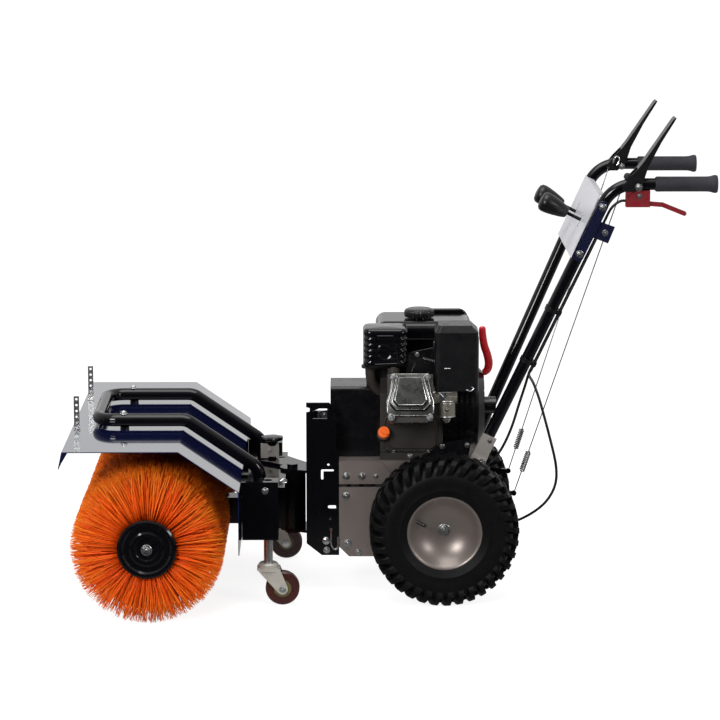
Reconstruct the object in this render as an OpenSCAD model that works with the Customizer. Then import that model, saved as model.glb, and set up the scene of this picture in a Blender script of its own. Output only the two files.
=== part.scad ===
// Walk-behind power brush sweeper: a driven brush under a sheet hood on a swivelling head with two
// casters, a petrol engine over a gear case with two lugged wheels, and handlebars with clutch levers.
// Lengths are millimetres, X forward, Y left, Z up. Places are counted from the wheel axle's line on
// the ground, and every node is then shifted so that the origin lies under the machine's middle.

/* [Drive wheels] */
// Diameter of the tyre over its lugs
tyre_d = 330; // [310:5:340]
// Width of the tyre
tyre_w = 125; // [110:5:130]
// Distance between the middles of the two tyres
track_w = 375; // [370:5:420]
// Diameter of the rim's flange
rim_d = 172; // [160:2:184]
// Height of a tread lug
lug_h = 14; // [8:1:18]

/* [Brush] */
// Brush axis from the axle
brush_x = 644; // [630:2:660]
// Brush axis above the ground
brush_z = 168; // [166:1:176]
// Diameter over the bristle tips
brush_d = 334; // [310:2:336]
// Half length of the brush, out to the end disc's seat
brush_half = 384; // [360:2:388]
// Half of the gap between the two half brushes
brush_gap_half = 36; // [34:1:44]
// Outer diameter of the bristles' backing sleeve
sleeve_d = 116; // [100:2:124]
// Rows of bristle strands on one half brush
strand_rows = 12; // [8:1:13]
// Strands in each row
strands_per_row = 18; // [14:1:19]
// Diameter of the end discs
end_disc_d = 128; // [118:2:140]

/* [Hood] */
// Width of the hood
hood_w = 800; // [790:5:840]
// Thickness of the hood's sheet
hood_t = 2; // [1.5:0.5:3]
// Hood's front edge from the axle
hood_front_x = 822; // [815:1:840]
// Height of the hood's top
hood_top_z = 384; // [374:1:392]
// Bend between the hood's flat top and its sloped back, from the axle
hood_bend_x = 574; // [560:1:590]
// Height of the bend between the sloped back and the rear flap
flap_top_z = 295.7; // [288:0.1:304]
// Height of the lower edge of the rear flap
hood_flap_z = 157; // [145:1:170]
// Height of the perforated straps
strap_h = 79; // [60:1:90]
// Distance between the straps
strap_span = 360; // [320:5:400]

/* [Loop bar] */
// Diameter of the loop bar's tube
loop_d = 28; // [22:1:32]
// Distance between the middles of the loop's legs
loop_span = 300; // [260:5:320]
// Front of the loop's tube middle, from the axle
loop_front_x = 765; // [740:1:775]
// Clear height of the loop above the hood
loop_lift = 5; // [3:0.5:10]

/* [Brush head] */
// Middle of the head's cross beam, from the axle
beam_x = 408; // [404:1:412]
// Depth of the cross beam, front to back
beam_l = 56; // [48:1:60]
// Top of the head
beam_top_z = 258; // [250:1:262]
// Lower edge of the cross beam
beam_low_z = 155; // [145:1:165]
// Swivel pin from the axle
swivel_x = 338; // [336:1:344]
// Swivel each way
swivel_deg = 15; // [5:1:15]
// Distance between the caster stems
caster_span = 420; // [410:2:440]
// Caster stems from the axle
caster_x = 388; // [384:1:392]
// Side of a square caster sleeve
caster_sleeve_w = 46; // [36:1:50]

/* [Casters] */
// Diameter of a caster wheel
caster_d = 75; // [65:1:80]
// Trail of the caster wheel behind its stem
caster_trail = 31; // [26:1:36]

/* [Chassis] */
// Front of the chassis plates, from the axle
chassis_front_x = 232; // [228:1:240]
// Back of the chassis plates, behind the axle
chassis_back_x = 100; // [96:1:110]
// Lower edge of the chassis plates
chassis_low_z = 82; // [76:1:90]
// Upper edge of the chassis plates
chassis_top_z = 241; // [236:1:244]
// Width over the chassis plates
chassis_w = 220; // [210:2:224]
// Thickness of the chassis plates
plate_t = 5; // [4:0.5:6]
// Top of the engine bed
bed_top_z = 300; // [296:1:306]
// Front of the front frame, from the axle
front_frame_x = 305; // [300:1:306]
// Top of the front frame
front_frame_z = 433; // [400:1:440]
// Axis of the driven pulley above the ground
input_z = 150; // [146:1:156]

/* [Engine] */
// Crank axis above the engine bed
crank_rise = 106; // [102:1:112]
// Tilt of the cylinder above the level
cylinder_tilt = 16; // [14:1:25]
// Middle of the cylinder from the axle
cylinder_x = 75; // [72:1:78]
// Length of the crankcase
crankcase_l = 140; // [136:1:142]
// Radius of the starter housing
starter_r = 88; // [80:1:90]
// Tank length
tank_l = 216; // [200:2:220]
// Tank width
tank_w = 166; // [140:2:168]
// Tank height
tank_h = 92; // [80:2:110]
// Front of the muffler guard from the axle
muffler_x = 178; // [170:1:182]
// Length, width and height of the muffler guard
muffler_size = [99, 90, 88];
// Length, width and height of the air filter
filter_size = [95, 95, 145];

/* [Belt drive] */
// Depth, width and height of the belt cover
cover_size = [98, 120, 159];
// Radius of the crank pulley
crank_pulley_r = 38; // [32:1:42]
// Radius of the driven pulley
input_pulley_r = 46; // [40:1:48]

/* [Handlebars] */
// Diameter of the handlebar tubes
bar_d = 26; // [22:1:28]
// Height of the grips
grip_z = 931; // [900:1:960]
// Distance between the grips
grip_span = 394; // [380:2:410]
// Grip ends behind the axle
grip_back_x = 588; // [570:1:600]
// Diameter of a grip
grip_d = 33; // [30:1:34]
// Lower tube ends behind the axle
bar_foot_x = 84; // [80:1:90]
// Height of the lower tube ends
bar_foot_z = 316; // [314:1:326]
// Corner of the tubes behind the axle
bar_corner_x = 362; // [350:1:370]
// Bend radius of the tubes
bar_bend = 75; // [60:1:85]
// Control panel's length along the tubes
panel_l = 150; // [130:2:160]

/* [Controls] */
// Travel of a clutch lever
lever_deg = 42; // [30:1:42]
// Length of a clutch lever from its pivot
lever_l = 170; // [150:1:176]
// Turns of a clutch spring
spring_turns = 12; // [8:1:14]
// Length of a clutch spring
spring_l = 59; // [50:1:64]
// Outer diameter of a clutch spring
spring_d = 11; // [9:0.5:13]

/* [Hidden] */
$fn = 48;
// Small sizes that several pieces share
half_shaft_d = 25;
strand_w = 8;
brush_axle_d = 30;
end_disc_t = 8;
hood_lip = 37;
loop_wall = 2.5;
caster_stem_d = 20;
panel_t = 2;
wire_d = 2.4;
cable_d = 6;
bar_wall = 2.5;
caster_w = 26;
swivel_pin_d = 24;
lug_count = 30;
tank_rise = 206;
grip_l = 135;

// Clearances: running round a shaft, seated round fits, and between pieces that pass each other
running = 0.05;
seat = 0.2;
pass_gap = 0.4;
// Overrun of every cut
overrun = 3;

// Half of the lip's lean, and the whole machine's reach each way
lip_lean = 8;
front_reach = hood_front_x + lip_lean;
shift_x = (grip_back_x - front_reach) / 2;

taupe = [0.45, 0.42, 0.40];
black = [0.07, 0.07, 0.08];
navy = [0.05, 0.07, 0.15];
zinc = [0.75, 0.76, 0.78];
orange = [0.92, 0.42, 0.08];
red = [0.70, 0.06, 0.09];

// Helpers

module place() {
  translate([shift_x, 0, 0]) children();
}

// The piece for the left side, mirrored for the right
module on_side(side) {
  mirror([0, side < 0 ? 1 : 0, 0]) children();
}

module both_sides() {
  for (side = [1, -1]) on_side(side) children();
}

// Turns a shape made about the vertical so that its axis points left, or forward
module axis_left() {
  rotate([-90, 0, 0]) children();
}

module axis_forward() {
  rotate([0, 90, 0]) children();
}

// Extrudes an outline drawn in X and Z over a band of Y
module side_slab(y_low, y_high) {
  translate([0, y_high, 0]) rotate([90, 0, 0]) linear_extrude(y_high - y_low) children();
}

module block(low, high) {
  translate(low) cube(high - low);
}

function unit(v) = v / norm(v);
function turn(v) = [-v[1], v[0]];
function reversed(p) = [for (i = [len(p) - 1:-1:0]) p[i]];

// Second side of a bent sheet of thickness t, mitred at each corner of the line p
function sheet_side(p, t) = [
  for (i = [0:len(p) - 1])
    let (
      after = i < len(p) - 1 ? unit(p[i + 1] - p[i]) : unit(p[i] - p[i - 1]),
      before = i > 0 ? unit(p[i] - p[i - 1]) : after,
      middle = unit(turn(before) + turn(after))
    )
    p[i] + middle * t / (middle * turn(before))
];

module bent_sheet(p, t) {
  polygon(concat(p, reversed(sheet_side(p, t))));
}

module rod(p, q, r) {
  v = q - p;
  translate(p)
    rotate([0, acos(v.z / norm(v)), atan2(v.y, v.x)])
      cylinder(h = norm(v), r = r);
}

module tube_ring(r, wall) {
  difference() {
    circle(r);
    circle(r - wall);
  }
}

// Bends are a hair thicker than the straights, which sink a little into them
bend_swell = 0.1;
bend_sink = 0.6;

// Hollow tube along points, with each corner bent to one radius
module bent_tube(points, r, wall, bend) {
  last = len(points) - 1;
  way = [for (i = [0:last - 1]) unit(points[i + 1] - points[i])];
  corner = [for (i = [1:last - 1]) acos(way[i - 1] * way[i])];
  trim = [for (i = [0:last]) i == 0 || i == last ? 0 : bend * tan(corner[i - 1] / 2)];
  for (i = [0:last - 1]) {
    p = points[i] + way[i] * (trim[i] - (i > 0 ? bend_sink : 0));
    q = points[i + 1] - way[i] * (trim[i + 1] - (i < last - 1 ? bend_sink : 0));
    translate(p)
      rotate([0, acos(way[i].z), atan2(way[i].y, way[i].x)])
        linear_extrude(norm(q - p)) tube_ring(r, wall);
  }
  for (i = [1:last - 1]) {
    u = way[i - 1];
    inward = unit(way[i] - u * (u * way[i]));
    k = cross(u, inward);
    c = points[i] - u * trim[i] + inward * bend;
    multmatrix([
      [-inward.x, u.x, k.x, c.x],
      [-inward.y, u.y, k.y, c.y],
      [-inward.z, u.z, k.z, c.z],
      [0, 0, 0, 1]
    ])
      rotate_extrude(angle = corner[i - 1])
        translate([bend, 0]) tube_ring(r + bend_swell, wall + 2 * bend_swell);
  }
}

// Point on a smooth curve through p, where t runs from 0 to the last index
function curve_point(p, t) =
  let (
    i = min(floor(t), len(p) - 2),
    f = t - i,
    a = p[max(i - 1, 0)],
    b = p[i],
    c = p[i + 1],
    d = p[min(i + 2, len(p) - 1)]
  )
  b + f * (c - a) / 2 + f * f * (2 * a - 5 * b + 4 * c - d) / 2 + f * f * f * (3 * b - 3 * c + d - a) / 2;

// Rings of a tube of radius r round the points p, each square to the way
function tube_rings(p, r, sides, axes) = [
  for (i = [0:len(p) - 1])
    let (
      way = unit(p[min(i + 1, len(p) - 1)] - p[max(i - 1, 0)]),
      up = unit(cross(way, axes[i])),
      across = cross(up, way)
    )
    each [for (k = [0:sides - 1]) p[i] + r * (cos(360 * k / sides) * across + sin(360 * k / sides) * up)]
];

function tube_faces(rings, sides) = concat(
  [for (k = [1:sides - 2]) [0, k, k + 1]],
  [for (i = [0:rings - 2]) for (k = [0:sides - 1])
    let (a = i * sides + k, b = i * sides + (k + 1) % sides)
    each [[a, a + sides, b], [b, a + sides, b + sides]]],
  [for (k = [1:sides - 2]) [(rings - 1) * sides, (rings - 1) * sides + k + 1, (rings - 1) * sides + k]]
);

module swept_tube(p, r, sides, axes) {
  polyhedron(tube_rings(p, r, sides, axes), tube_faces(len(p), sides));
}

// Drive wheels

axle_z = tyre_d / 2;
wheel_y = track_w / 2;
flange_h = 10;
rim_wall = 4;
rim_w = 100;
rim_seat_r = rim_d / 2 - flange_h;
tyre_r = tyre_d / 2;
tyre_half = tyre_w / 2;
bead_r = rim_seat_r + seat;
bead_half = rim_w / 2 - rim_wall - seat;
carcass_r = tyre_r - lug_h;
// Section of the tyre, as shares of its height and half width, bead to crown
section_shares = [[0.17, 0.73], [0.30, 0.95], [0.48, 1], [0.70, 0.98], [0.87, 0.84], [0.97, 0.52], [1, 0]];
// Lug blocks as shares of the half width, and where they start as shares of the section's height
shoulder_shares = [0.40, 0.80];
crown_shares = [0.05, 0.44];
lug_root_share = 0.62;
lug_crown_root_share = 0.86;
lug_edge_share = 0.7;
lug_angle = 360 / lug_count;
lug_width_share = 0.52;
lug_skew_share = 0.40;
crown_drop = 0.6;

function section_point(s) = [bead_r + s[0] * (carcass_r - bead_r), s[1] * tyre_half];

module tyre_section() {
  half = [for (s = section_shares) section_point(s)];
  other = reversed([for (i = [0:len(half) - 2]) [half[i][0], -half[i][1]]]);
  polygon(concat([[bead_r, -bead_half], [bead_r, bead_half]], half, other));
}

module lug_sector(points) {
  rotate_extrude(angle = lug_angle * lug_width_share) polygon(points);
}

module tread_side() {
  root = bead_r + lug_root_share * (carcass_r - bead_r);
  crown_root = bead_r + lug_crown_root_share * (carcass_r - bead_r);
  in_y = shoulder_shares[0] * tyre_half;
  edge_y = shoulder_shares[1] * tyre_half;
  for (i = [0:lug_count - 1]) {
    rotate([0, 0, i * lug_angle])
      lug_sector([
        [root, in_y], [tyre_r, in_y], [tyre_r, edge_y],
        [tyre_r - lug_edge_share * lug_h, tyre_half], [root, tyre_half]
      ]);
    rotate([0, 0, (i + lug_skew_share) * lug_angle])
      lug_sector([
        [crown_root, crown_shares[0] * tyre_half], [tyre_r - crown_drop, crown_shares[0] * tyre_half],
        [tyre_r - crown_drop, crown_shares[1] * tyre_half], [crown_root, crown_shares[1] * tyre_half]
      ]);
  }
}

module tyre() {
  color(black)
    place() translate([0, wheel_y, axle_z]) axis_left() {
      rotate_extrude() tyre_section();
      tread_side();
      rotate([0, 0, lug_angle / 2]) mirror([0, 0, 1]) tread_side();
    }
}

module tyre_left() { on_side(1) tyre(); }
module tyre_right() { on_side(-1) tyre(); }
hub_r = 30;
hub_in = 50;
hub_nut_r = 13;
hub_nut_h = 12;
dish_flat_r = 20;
dish_hub_y = 10;
dish_rim_y = 38;
half_shaft_in = 22;

module rim() {
  shaft_r = half_shaft_d / 2;
  color(taupe)
    place() translate([0, wheel_y, axle_z]) axis_left() rotate_extrude() {
      translate([rim_seat_r - rim_wall, -rim_w / 2]) square([rim_wall, rim_w]);
      for (y = [-rim_w / 2, rim_w / 2 - rim_wall])
        translate([rim_seat_r - rim_wall, y]) square([flange_h + rim_wall, rim_wall]);
      polygon([
        [0, dish_hub_y], [dish_flat_r, dish_hub_y], [rim_seat_r - rim_wall / 2, dish_rim_y],
        [rim_seat_r - rim_wall / 2, dish_rim_y + rim_wall], [dish_flat_r, dish_hub_y + rim_wall],
        [0, dish_hub_y + rim_wall]
      ]);
      translate([0, -hub_in]) square([hub_r, hub_in + dish_hub_y + rim_wall / 2]);
      square([hub_nut_r, dish_hub_y + rim_wall + hub_nut_h]);
      translate([0, half_shaft_in - wheel_y]) square([shaft_r, wheel_y - half_shaft_in]);
    }
}

module rim_left() { on_side(1) rim(); }
module rim_right() { on_side(-1) rim(); }
// Chassis

plate_out = chassis_w / 2;
plate_in = plate_out - plate_t;
chassis_cut = 22;
bearing_r = 28;
bearing_l = 9;
arm_pivot = [-86, 232];
arm_pin_r = 5;
arm_pin_l = 10;
arm_boss_r = 8;
arm_boss_l = 2;
floor_plate_x = 160;

module chassis_side() {
  polygon([
    [-chassis_back_x, chassis_low_z + 2 * chassis_cut], [-chassis_back_x + 2 * chassis_cut, chassis_low_z],
    [chassis_front_x - chassis_cut, chassis_low_z], [chassis_front_x, chassis_low_z + chassis_cut],
    [chassis_front_x, chassis_top_z], [-chassis_back_x, chassis_top_z]
  ]);
}

module chassis_frame() {
  color(taupe) place() {
    difference() {
      union() {
        both_sides() {
          side_slab(plate_in, plate_out) chassis_side();
          translate([0, plate_out, axle_z]) axis_left() cylinder(h = bearing_l, r = bearing_r);
          translate([arm_pivot.x, plate_out, arm_pivot.y]) axis_left() {
            cylinder(h = arm_boss_l, r = arm_boss_r);
            cylinder(h = arm_pin_l, r = arm_pin_r);
          }
        }
        block([floor_plate_x, -plate_in, chassis_low_z],
              [chassis_front_x - chassis_cut, plate_in, chassis_low_z + plate_t]);
      }
      translate([0, -wheel_y, axle_z]) axis_left()
        cylinder(h = track_w, r = half_shaft_d / 2 + running);
    }
  }
}

case_front_x = 150;
case_back_x = 88;
case_low_z = 95;
case_cut = 18;
case_flange_h = 7;
input_shaft_r = 12;
input_boss_r = 30;
input_boss_l = 8;
input_bore_l = 70;
cable_boss_r = 8;
cable_boss_l = 14;
cable_boss = [75, 148];

module gear_case() {
  color([0.30, 0.30, 0.31]) place() difference() {
    union() {
      side_slab(-plate_in, plate_in) polygon([
        [-case_back_x, case_low_z + 2 * case_cut], [-case_back_x + 2 * case_cut, case_low_z],
        [case_front_x - case_cut, case_low_z], [case_front_x, case_low_z + case_cut],
        [case_front_x, chassis_top_z], [-case_back_x, chassis_top_z]
      ]);
      block([-chassis_back_x, -plate_out, chassis_top_z],
            [case_front_x, plate_out, chassis_top_z + case_flange_h]);
      translate([case_front_x, 0, input_z]) axis_forward() cylinder(h = input_boss_l, r = input_boss_r);
      translate([-case_back_x, cable_boss[0], cable_boss[1]]) axis_forward()
        translate([0, 0, -cable_boss_l]) cylinder(h = cable_boss_l + overrun, r = cable_boss_r);
    }
    translate([0, -wheel_y, axle_z]) axis_left()
      cylinder(h = track_w, r = half_shaft_d / 2 + running);
    translate([case_front_x + input_boss_l - input_bore_l, 0, input_z]) axis_forward()
      cylinder(h = input_bore_l + overrun, r = input_shaft_r + running);
  }
}

bed_t = 6;
bed_back_x = 95;
bed_low_z = chassis_top_z + case_flange_h;
bed_step_x = [112, 141];
bed_step_z = 268;
belt_slot_x = 160;
belt_slot_half = 54;

module engine_bed() {
  color(taupe) place() difference() {
    union() {
      both_sides() side_slab(plate_in, plate_out) polygon([
        [-bed_back_x, bed_low_z], [chassis_front_x, bed_low_z], [chassis_front_x, bed_top_z],
        [bed_step_x[1], bed_top_z], [bed_step_x[0], bed_step_z], [-bed_back_x / 2, bed_step_z],
        [-bed_back_x, bed_step_z]
      ]);
      block([-bed_back_x, -plate_in, bed_top_z - bed_t], [chassis_front_x, plate_in, bed_top_z]);
      both_sides() block([-bed_back_x, plate_in - plate_t, bed_low_z],
                         [case_front_x, plate_in, bed_top_z - bed_t]);
    }
    block([belt_slot_x, -belt_slot_half, bed_low_z - overrun],
          [chassis_front_x - plate_t, belt_slot_half, bed_top_z + overrun]);
  }
}

// Front frame with the swivel lugs

lug_t = 6;
swivel_top_z = beam_top_z + pass_gap;
swivel_low_z = 126;
swivel_lug_r = 28;
swivel_lug_half = 45;
king_pin_r = swivel_pin_d / 2;
king_head_r = 17;
king_head_h = 7;
cross_low_z = swivel_low_z - lug_t;
cross_top_z = 290;
tie_l = 40;
frame_low_z = 85;
frame_cut = [34, 27];
frame_slot_w = 7;
hook_slot = [[247, 286], [264, 286]];
hook_drop = 13;
oval_slot = [[240, 202], [254, 202]];
frame_hole_r = 3.5;
frame_holes = [[252, 302], [248, 178], [238, 158]];
hook_notch = [285, 413];
notch_h = 9;
plate_window_low = [253, 395];
plate_window_high = [277, 416];
window_low = [240, 120];
window_high = [288, 262];
knob_r = 102;
knob_deg = -62;
knob_bolt_r = 5;
sector_r = 117;
sector_margin_deg = 6;

// Slot with round ends: its waist is a hair narrower, so that it meets the ends at a true angle
waist_share = 0.97;

module slot_outline(p, q, w) {
  v = q - p;
  waist = w * waist_share;
  translate(p) circle(w / 2);
  translate(q) circle(w / 2);
  translate(p) rotate(atan2(v[1], v[0])) translate([0, -waist / 2]) square([norm(v), waist]);
}

module front_side() {
  polygon([
    [chassis_front_x, frame_low_z], [front_frame_x - frame_cut[0], frame_low_z],
    [front_frame_x, frame_low_z + frame_cut[1]], [front_frame_x, front_frame_z],
    [chassis_front_x + frame_cut[0] / 2, front_frame_z], [chassis_front_x, front_frame_z - frame_cut[1]]
  ]);
}

module front_slots() {
  slot_outline(hook_slot[0], hook_slot[1], frame_slot_w);
  slot_outline(hook_slot[0], hook_slot[0] - [0, hook_drop], frame_slot_w);
  slot_outline(oval_slot[0], oval_slot[1], frame_slot_w);
  for (p = frame_holes) translate(p) circle(frame_hole_r);
  translate(hook_notch) square([front_frame_x, notch_h]);
  translate(plate_window_low) square(plate_window_high - plate_window_low);
}

module swivel_lug() {
  waist = swivel_lug_r * waist_share;
  translate([swivel_x, 0]) circle(swivel_lug_r);
  polygon([
    [front_frame_x - plate_t, -swivel_lug_half], [front_frame_x, -swivel_lug_half],
    [swivel_x, -waist], [swivel_x, waist],
    [front_frame_x, swivel_lug_half], [front_frame_x - plate_t, swivel_lug_half]
  ]);
}

module sector_slot() {
  translate([0, 0, -overrun]) {
    rotate([0, 0, knob_deg - swivel_deg])
      rotate_extrude(angle = 2 * swivel_deg)
        translate([knob_r - knob_bolt_r - pass_gap, 0])
          square([2 * (knob_bolt_r + pass_gap), lug_t + 2 * overrun]);
    for (a = [-swivel_deg, swivel_deg])
      rotate([0, 0, knob_deg + a]) translate([knob_r, 0, 0])
        cylinder(h = lug_t + 2 * overrun, r = (knob_bolt_r + pass_gap) / waist_share);
  }
}

module front_frame() {
  color(black) place() {
    side_slab(plate_in, plate_out) difference() {
      front_side();
      front_slots();
    }
    side_slab(-plate_out, -plate_in) difference() {
      front_side();
      translate(window_low) square(window_high - window_low);
    }
    block([front_frame_x - plate_t, -plate_in, cross_low_z], [front_frame_x, plate_in, cross_top_z]);
    block([front_frame_x - tie_l, -plate_in, front_frame_z - plate_t],
          [front_frame_x, plate_in, front_frame_z]);
    translate([0, 0, cross_low_z]) linear_extrude(lug_t) swivel_lug();
    difference() {
      union() {
        translate([0, 0, swivel_top_z]) linear_extrude(lug_t) swivel_lug();
        translate([swivel_x, 0, swivel_top_z])
          rotate([0, 0, knob_deg - swivel_deg - sector_margin_deg])
            rotate_extrude(angle = 2 * (swivel_deg + sector_margin_deg)) square([sector_r, lug_t]);
      }
      translate([swivel_x, 0, swivel_top_z]) sector_slot();
    }
    translate([swivel_x, 0, cross_low_z - king_head_h]) {
      cylinder(h = swivel_top_z + lug_t - cross_low_z + 2 * king_head_h, r = king_pin_r);
      cylinder(h = king_head_h, r = king_head_r);
    }
  }
}

// Engine

crank_z = bed_top_z + crank_rise;
case_half = 85;
case_foot_half = 96;
case_foot_h = 16;
case_top = 178;
case_shoulder = 34;
crank_shaft_r = 10;
crank_bore_l = 40;
pto_r = 46;
pto_l = 13;
barrel_half = [40, 44];
fin_half = [47, 50];
fin_t = 3;
fin_pitch = 8;
fin_first = 78;
fin_count = 9;
barrel_in = 40;
head_in = 150;
head_out = 188;
head_half = [50, 52];
exhaust_boss = [110, 100];
exhaust_boss_r = 14;
exhaust_drop = 50;
tank_low_z = bed_top_z + tank_rise;
tank_post_r = 8;
saddle_x = [4, 124];
saddle_y = [-46, -8];
tank_posts = [[10, -60], [130, -60], [10, 5], [130, 5]];
dipstick_at = [132, 55];
dipstick_boss_r = 15;
dipstick_boss_l = 14;
dipstick_tilt = 25;
dipstick_stem_r = 6;
dipstick_cap_r = 12.5;
dipstick_cap_h = 14;
dipstick_stem_l = 30;

module cylinder_frame() {
  translate([cylinder_x, 0, crank_z]) rotate([cylinder_tilt, 0, 0]) children();
}

module dipstick_frame() {
  translate([dipstick_at[0], case_half, bed_top_z + dipstick_at[1]])
    rotate([dipstick_tilt, 0, 0]) axis_left() children();
}

module crankcase_outline() {
  polygon([
    [-case_foot_half, 0], [case_foot_half, 0], [case_foot_half, case_foot_h], [case_half, case_foot_h],
    [case_half, case_top - case_shoulder], [case_half - case_shoulder, case_top],
    [case_shoulder - case_half, case_top], [-case_half, case_top - case_shoulder],
    [-case_half, case_foot_h], [-case_foot_half, case_foot_h]
  ]);
}

module engine_block() {
  color([0.32, 0.31, 0.30]) place() difference() {
    union() {
      translate([0, 0, bed_top_z]) rotate([90, 0, 90]) linear_extrude(crankcase_l) crankcase_outline();
      translate([crankcase_l, 0, crank_z]) axis_forward() cylinder(h = pto_l, r = pto_r);
      cylinder_frame() {
        block([-barrel_half[0], barrel_in, -barrel_half[1]], [barrel_half[0], head_in, barrel_half[1]]);
        block([-head_half[0], head_in, -head_half[1]], [head_half[0], head_out, head_half[1]]);
        for (i = [0:fin_count - 1])
          translate([0, fin_first + i * fin_pitch, 0])
            block([-fin_half[0], 0, -fin_half[1]], [fin_half[0], fin_t, fin_half[1]]);
      }
      translate([exhaust_boss[0], exhaust_boss[1], muffler_low_z - exhaust_drop])
        cylinder(h = exhaust_drop, r = exhaust_boss_r);
      for (p = tank_posts)
        translate([p[0], p[1], bed_top_z + case_top - overrun])
          cylinder(h = tank_low_z - bed_top_z - case_top + overrun, r = tank_post_r);
      block([saddle_x[0], saddle_y[0], bed_top_z + case_top - overrun],
            [saddle_x[1], saddle_y[1], tank_low_z]);
      dipstick_frame() translate([0, 0, -dipstick_boss_l])
        cylinder(h = 2 * dipstick_boss_l, r = dipstick_boss_r);
    }
    translate([crankcase_l + pto_l - crank_bore_l, 0, crank_z]) axis_forward()
      cylinder(h = crank_bore_l + overrun, r = crank_shaft_r + running);
    dipstick_frame() translate([0, 0, dipstick_boss_l - dipstick_stem_l - overrun])
      cylinder(h = dipstick_stem_l + 2 * overrun, r = dipstick_stem_r + running);
  }
}

// Rocker cover: a flange with four screw bosses and a stepped dome that narrows upwards
cover_low_w = 104;
cover_top_w = 84;
cover_h = 108;
cover_flange_t = 9;
cover_steps = [14, 8];
cover_insets = [9, 20];
cover_boss_r = 10;
cover_boss_t = 13;
cover_cut_share = 0.22;

module cover_outline(inset) {
  low = cover_low_w / 2 - inset;
  top = cover_top_w / 2 - inset;
  half = cover_h / 2 - inset;
  cut = cover_cut_share * cover_h;
  polygon([
    [-low + cut / 2, -half], [low - cut / 2, -half], [low, -half + cut / 2], [low, -half + cut],
    [top, half - cut / 2], [top - cut / 2, half], [-top + cut / 2, half], [-top, half - cut / 2],
    [-low, -half + cut], [-low, -half + cut / 2]
  ]);
}

module rocker_cover() {
  color([0.62, 0.62, 0.62]) place() cylinder_frame()
    translate([0, head_out, 0]) mirror([1, 0, 0]) rotate([-90, 180, 0]) mirror([1, 0, 0]) {
      linear_extrude(cover_flange_t) cover_outline(0);
      linear_extrude(cover_flange_t + cover_steps[0]) cover_outline(cover_insets[0]);
      linear_extrude(cover_flange_t + cover_steps[0] + cover_steps[1]) cover_outline(cover_insets[1]);
      for (x = [-1, 1]) {
        translate([x * (cover_low_w / 2 - cover_boss_r), cover_boss_r - cover_h / 2, 0])
          cylinder(h = cover_boss_t, r = cover_boss_r);
        translate([x * (cover_top_w / 2 - cover_boss_r / 2), cover_h / 2 - cover_boss_r, 0])
          cylinder(h = cover_boss_t, r = cover_boss_r);
      }
    }
}

// Starter and fan housing on the back of the crankcase
shroud_r = 96;
shroud_l = 32;
starter_l = 62;
starter_dome = 14;
starter_hub_r = 19;
starter_hub_l = 28;
starter_slots = 14;
starter_slot_w = 9;
starter_slot_in_share = 0.45;
starter_slot_out_share = 0.86;
starter_slot_d = 6;
grip_post_low = [70, 8, 84];
grip_post_size = [12, 24, 76];

module recoil_housing() {
  color(black) place() translate([0, 0, crank_z]) {
    rotate([0, -90, 0]) difference() {
      rotate_extrude() polygon([
        [0, 0], [shroud_r, 0], [shroud_r, shroud_l], [starter_r, shroud_l],
        [starter_r, shroud_l + starter_l - starter_dome],
        [starter_r - starter_dome, shroud_l + starter_l], [starter_hub_r, shroud_l + starter_l],
        [starter_hub_r, shroud_l + starter_l + starter_hub_l], [0, shroud_l + starter_l + starter_hub_l]
      ]);
      for (i = [0:starter_slots - 1])
        rotate([0, 0, i * 360 / starter_slots])
          translate([starter_r * starter_slot_in_share, -starter_slot_w / 2,
                     shroud_l + starter_l - starter_slot_d])
            cube([starter_r * (starter_slot_out_share - starter_slot_in_share), starter_slot_w,
                  starter_slot_d + overrun]);
    }
    block([-grip_post_low.x - grip_post_size.x, grip_post_low.y, grip_post_low.z - grip_post_size.z / 2],
          [-grip_post_low.x, grip_post_low.y + grip_post_size.y, grip_post_low.z + grip_post_size.z]);
  }
}

// D-shaped starter grip seated on the rope post
d_grip_t = 14;
d_grip_bar = 8;
d_grip_h = 114;
d_grip_low = 70;
d_outline_shares = [[-0.82, 0.93, 0.75], [-2.76, 0.28, 1.19], [-2.15, 0.1, 1]];
d_window_shares = [[-1.96, 0.272, 0.75], [-0.95, 0.7, 0.32]];

module d_form(shares) {
  hull()
    for (s = shares)
      translate([s[0] * d_grip_bar, s[1] * d_grip_h]) circle(s[2] * d_grip_bar, $fn = 32);
}

module recoil_grip() {
  post_back = grip_post_low.x + grip_post_size.x;
  mid_y = grip_post_low.y + grip_post_size.y / 2;
  color(red) place()
    translate([-post_back - pass_gap, 0, crank_z + d_grip_low])
      side_slab(mid_y - d_grip_t / 2, mid_y + d_grip_t / 2) difference() {
        d_form(d_outline_shares);
        d_form(d_window_shares);
      }
}

// Fuel tank with its seam and guard rod
tank_front_x = 148;
tank_near_y = 18;
tank_round = 22;
neck_r = 24;
neck_h = 2;
cap_at = [50, -50];
cap_r = 34;
cap_h = 20;
cap_plug_r = 18;
cap_plug_l = 16;
cap_notches = 12;
cap_notch_r = 5;
cap_bevel = 6;
guard_rod_r = 5;
guard_rod_bend = 18;
guard_rod_y = 26;
guard_rod_rise = 4;
guard_rod_x = [70, -58];

module tank_body() {
  hull()
    for (x = [tank_front_x - tank_l + tank_round, tank_front_x - tank_round])
      for (y = [tank_near_y - tank_w + tank_round, tank_near_y - tank_round])
        for (z = [tank_low_z + tank_round, tank_low_z + tank_h - tank_round])
          translate([x, y, z]) sphere(tank_round, $fn = 24);
}

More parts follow.
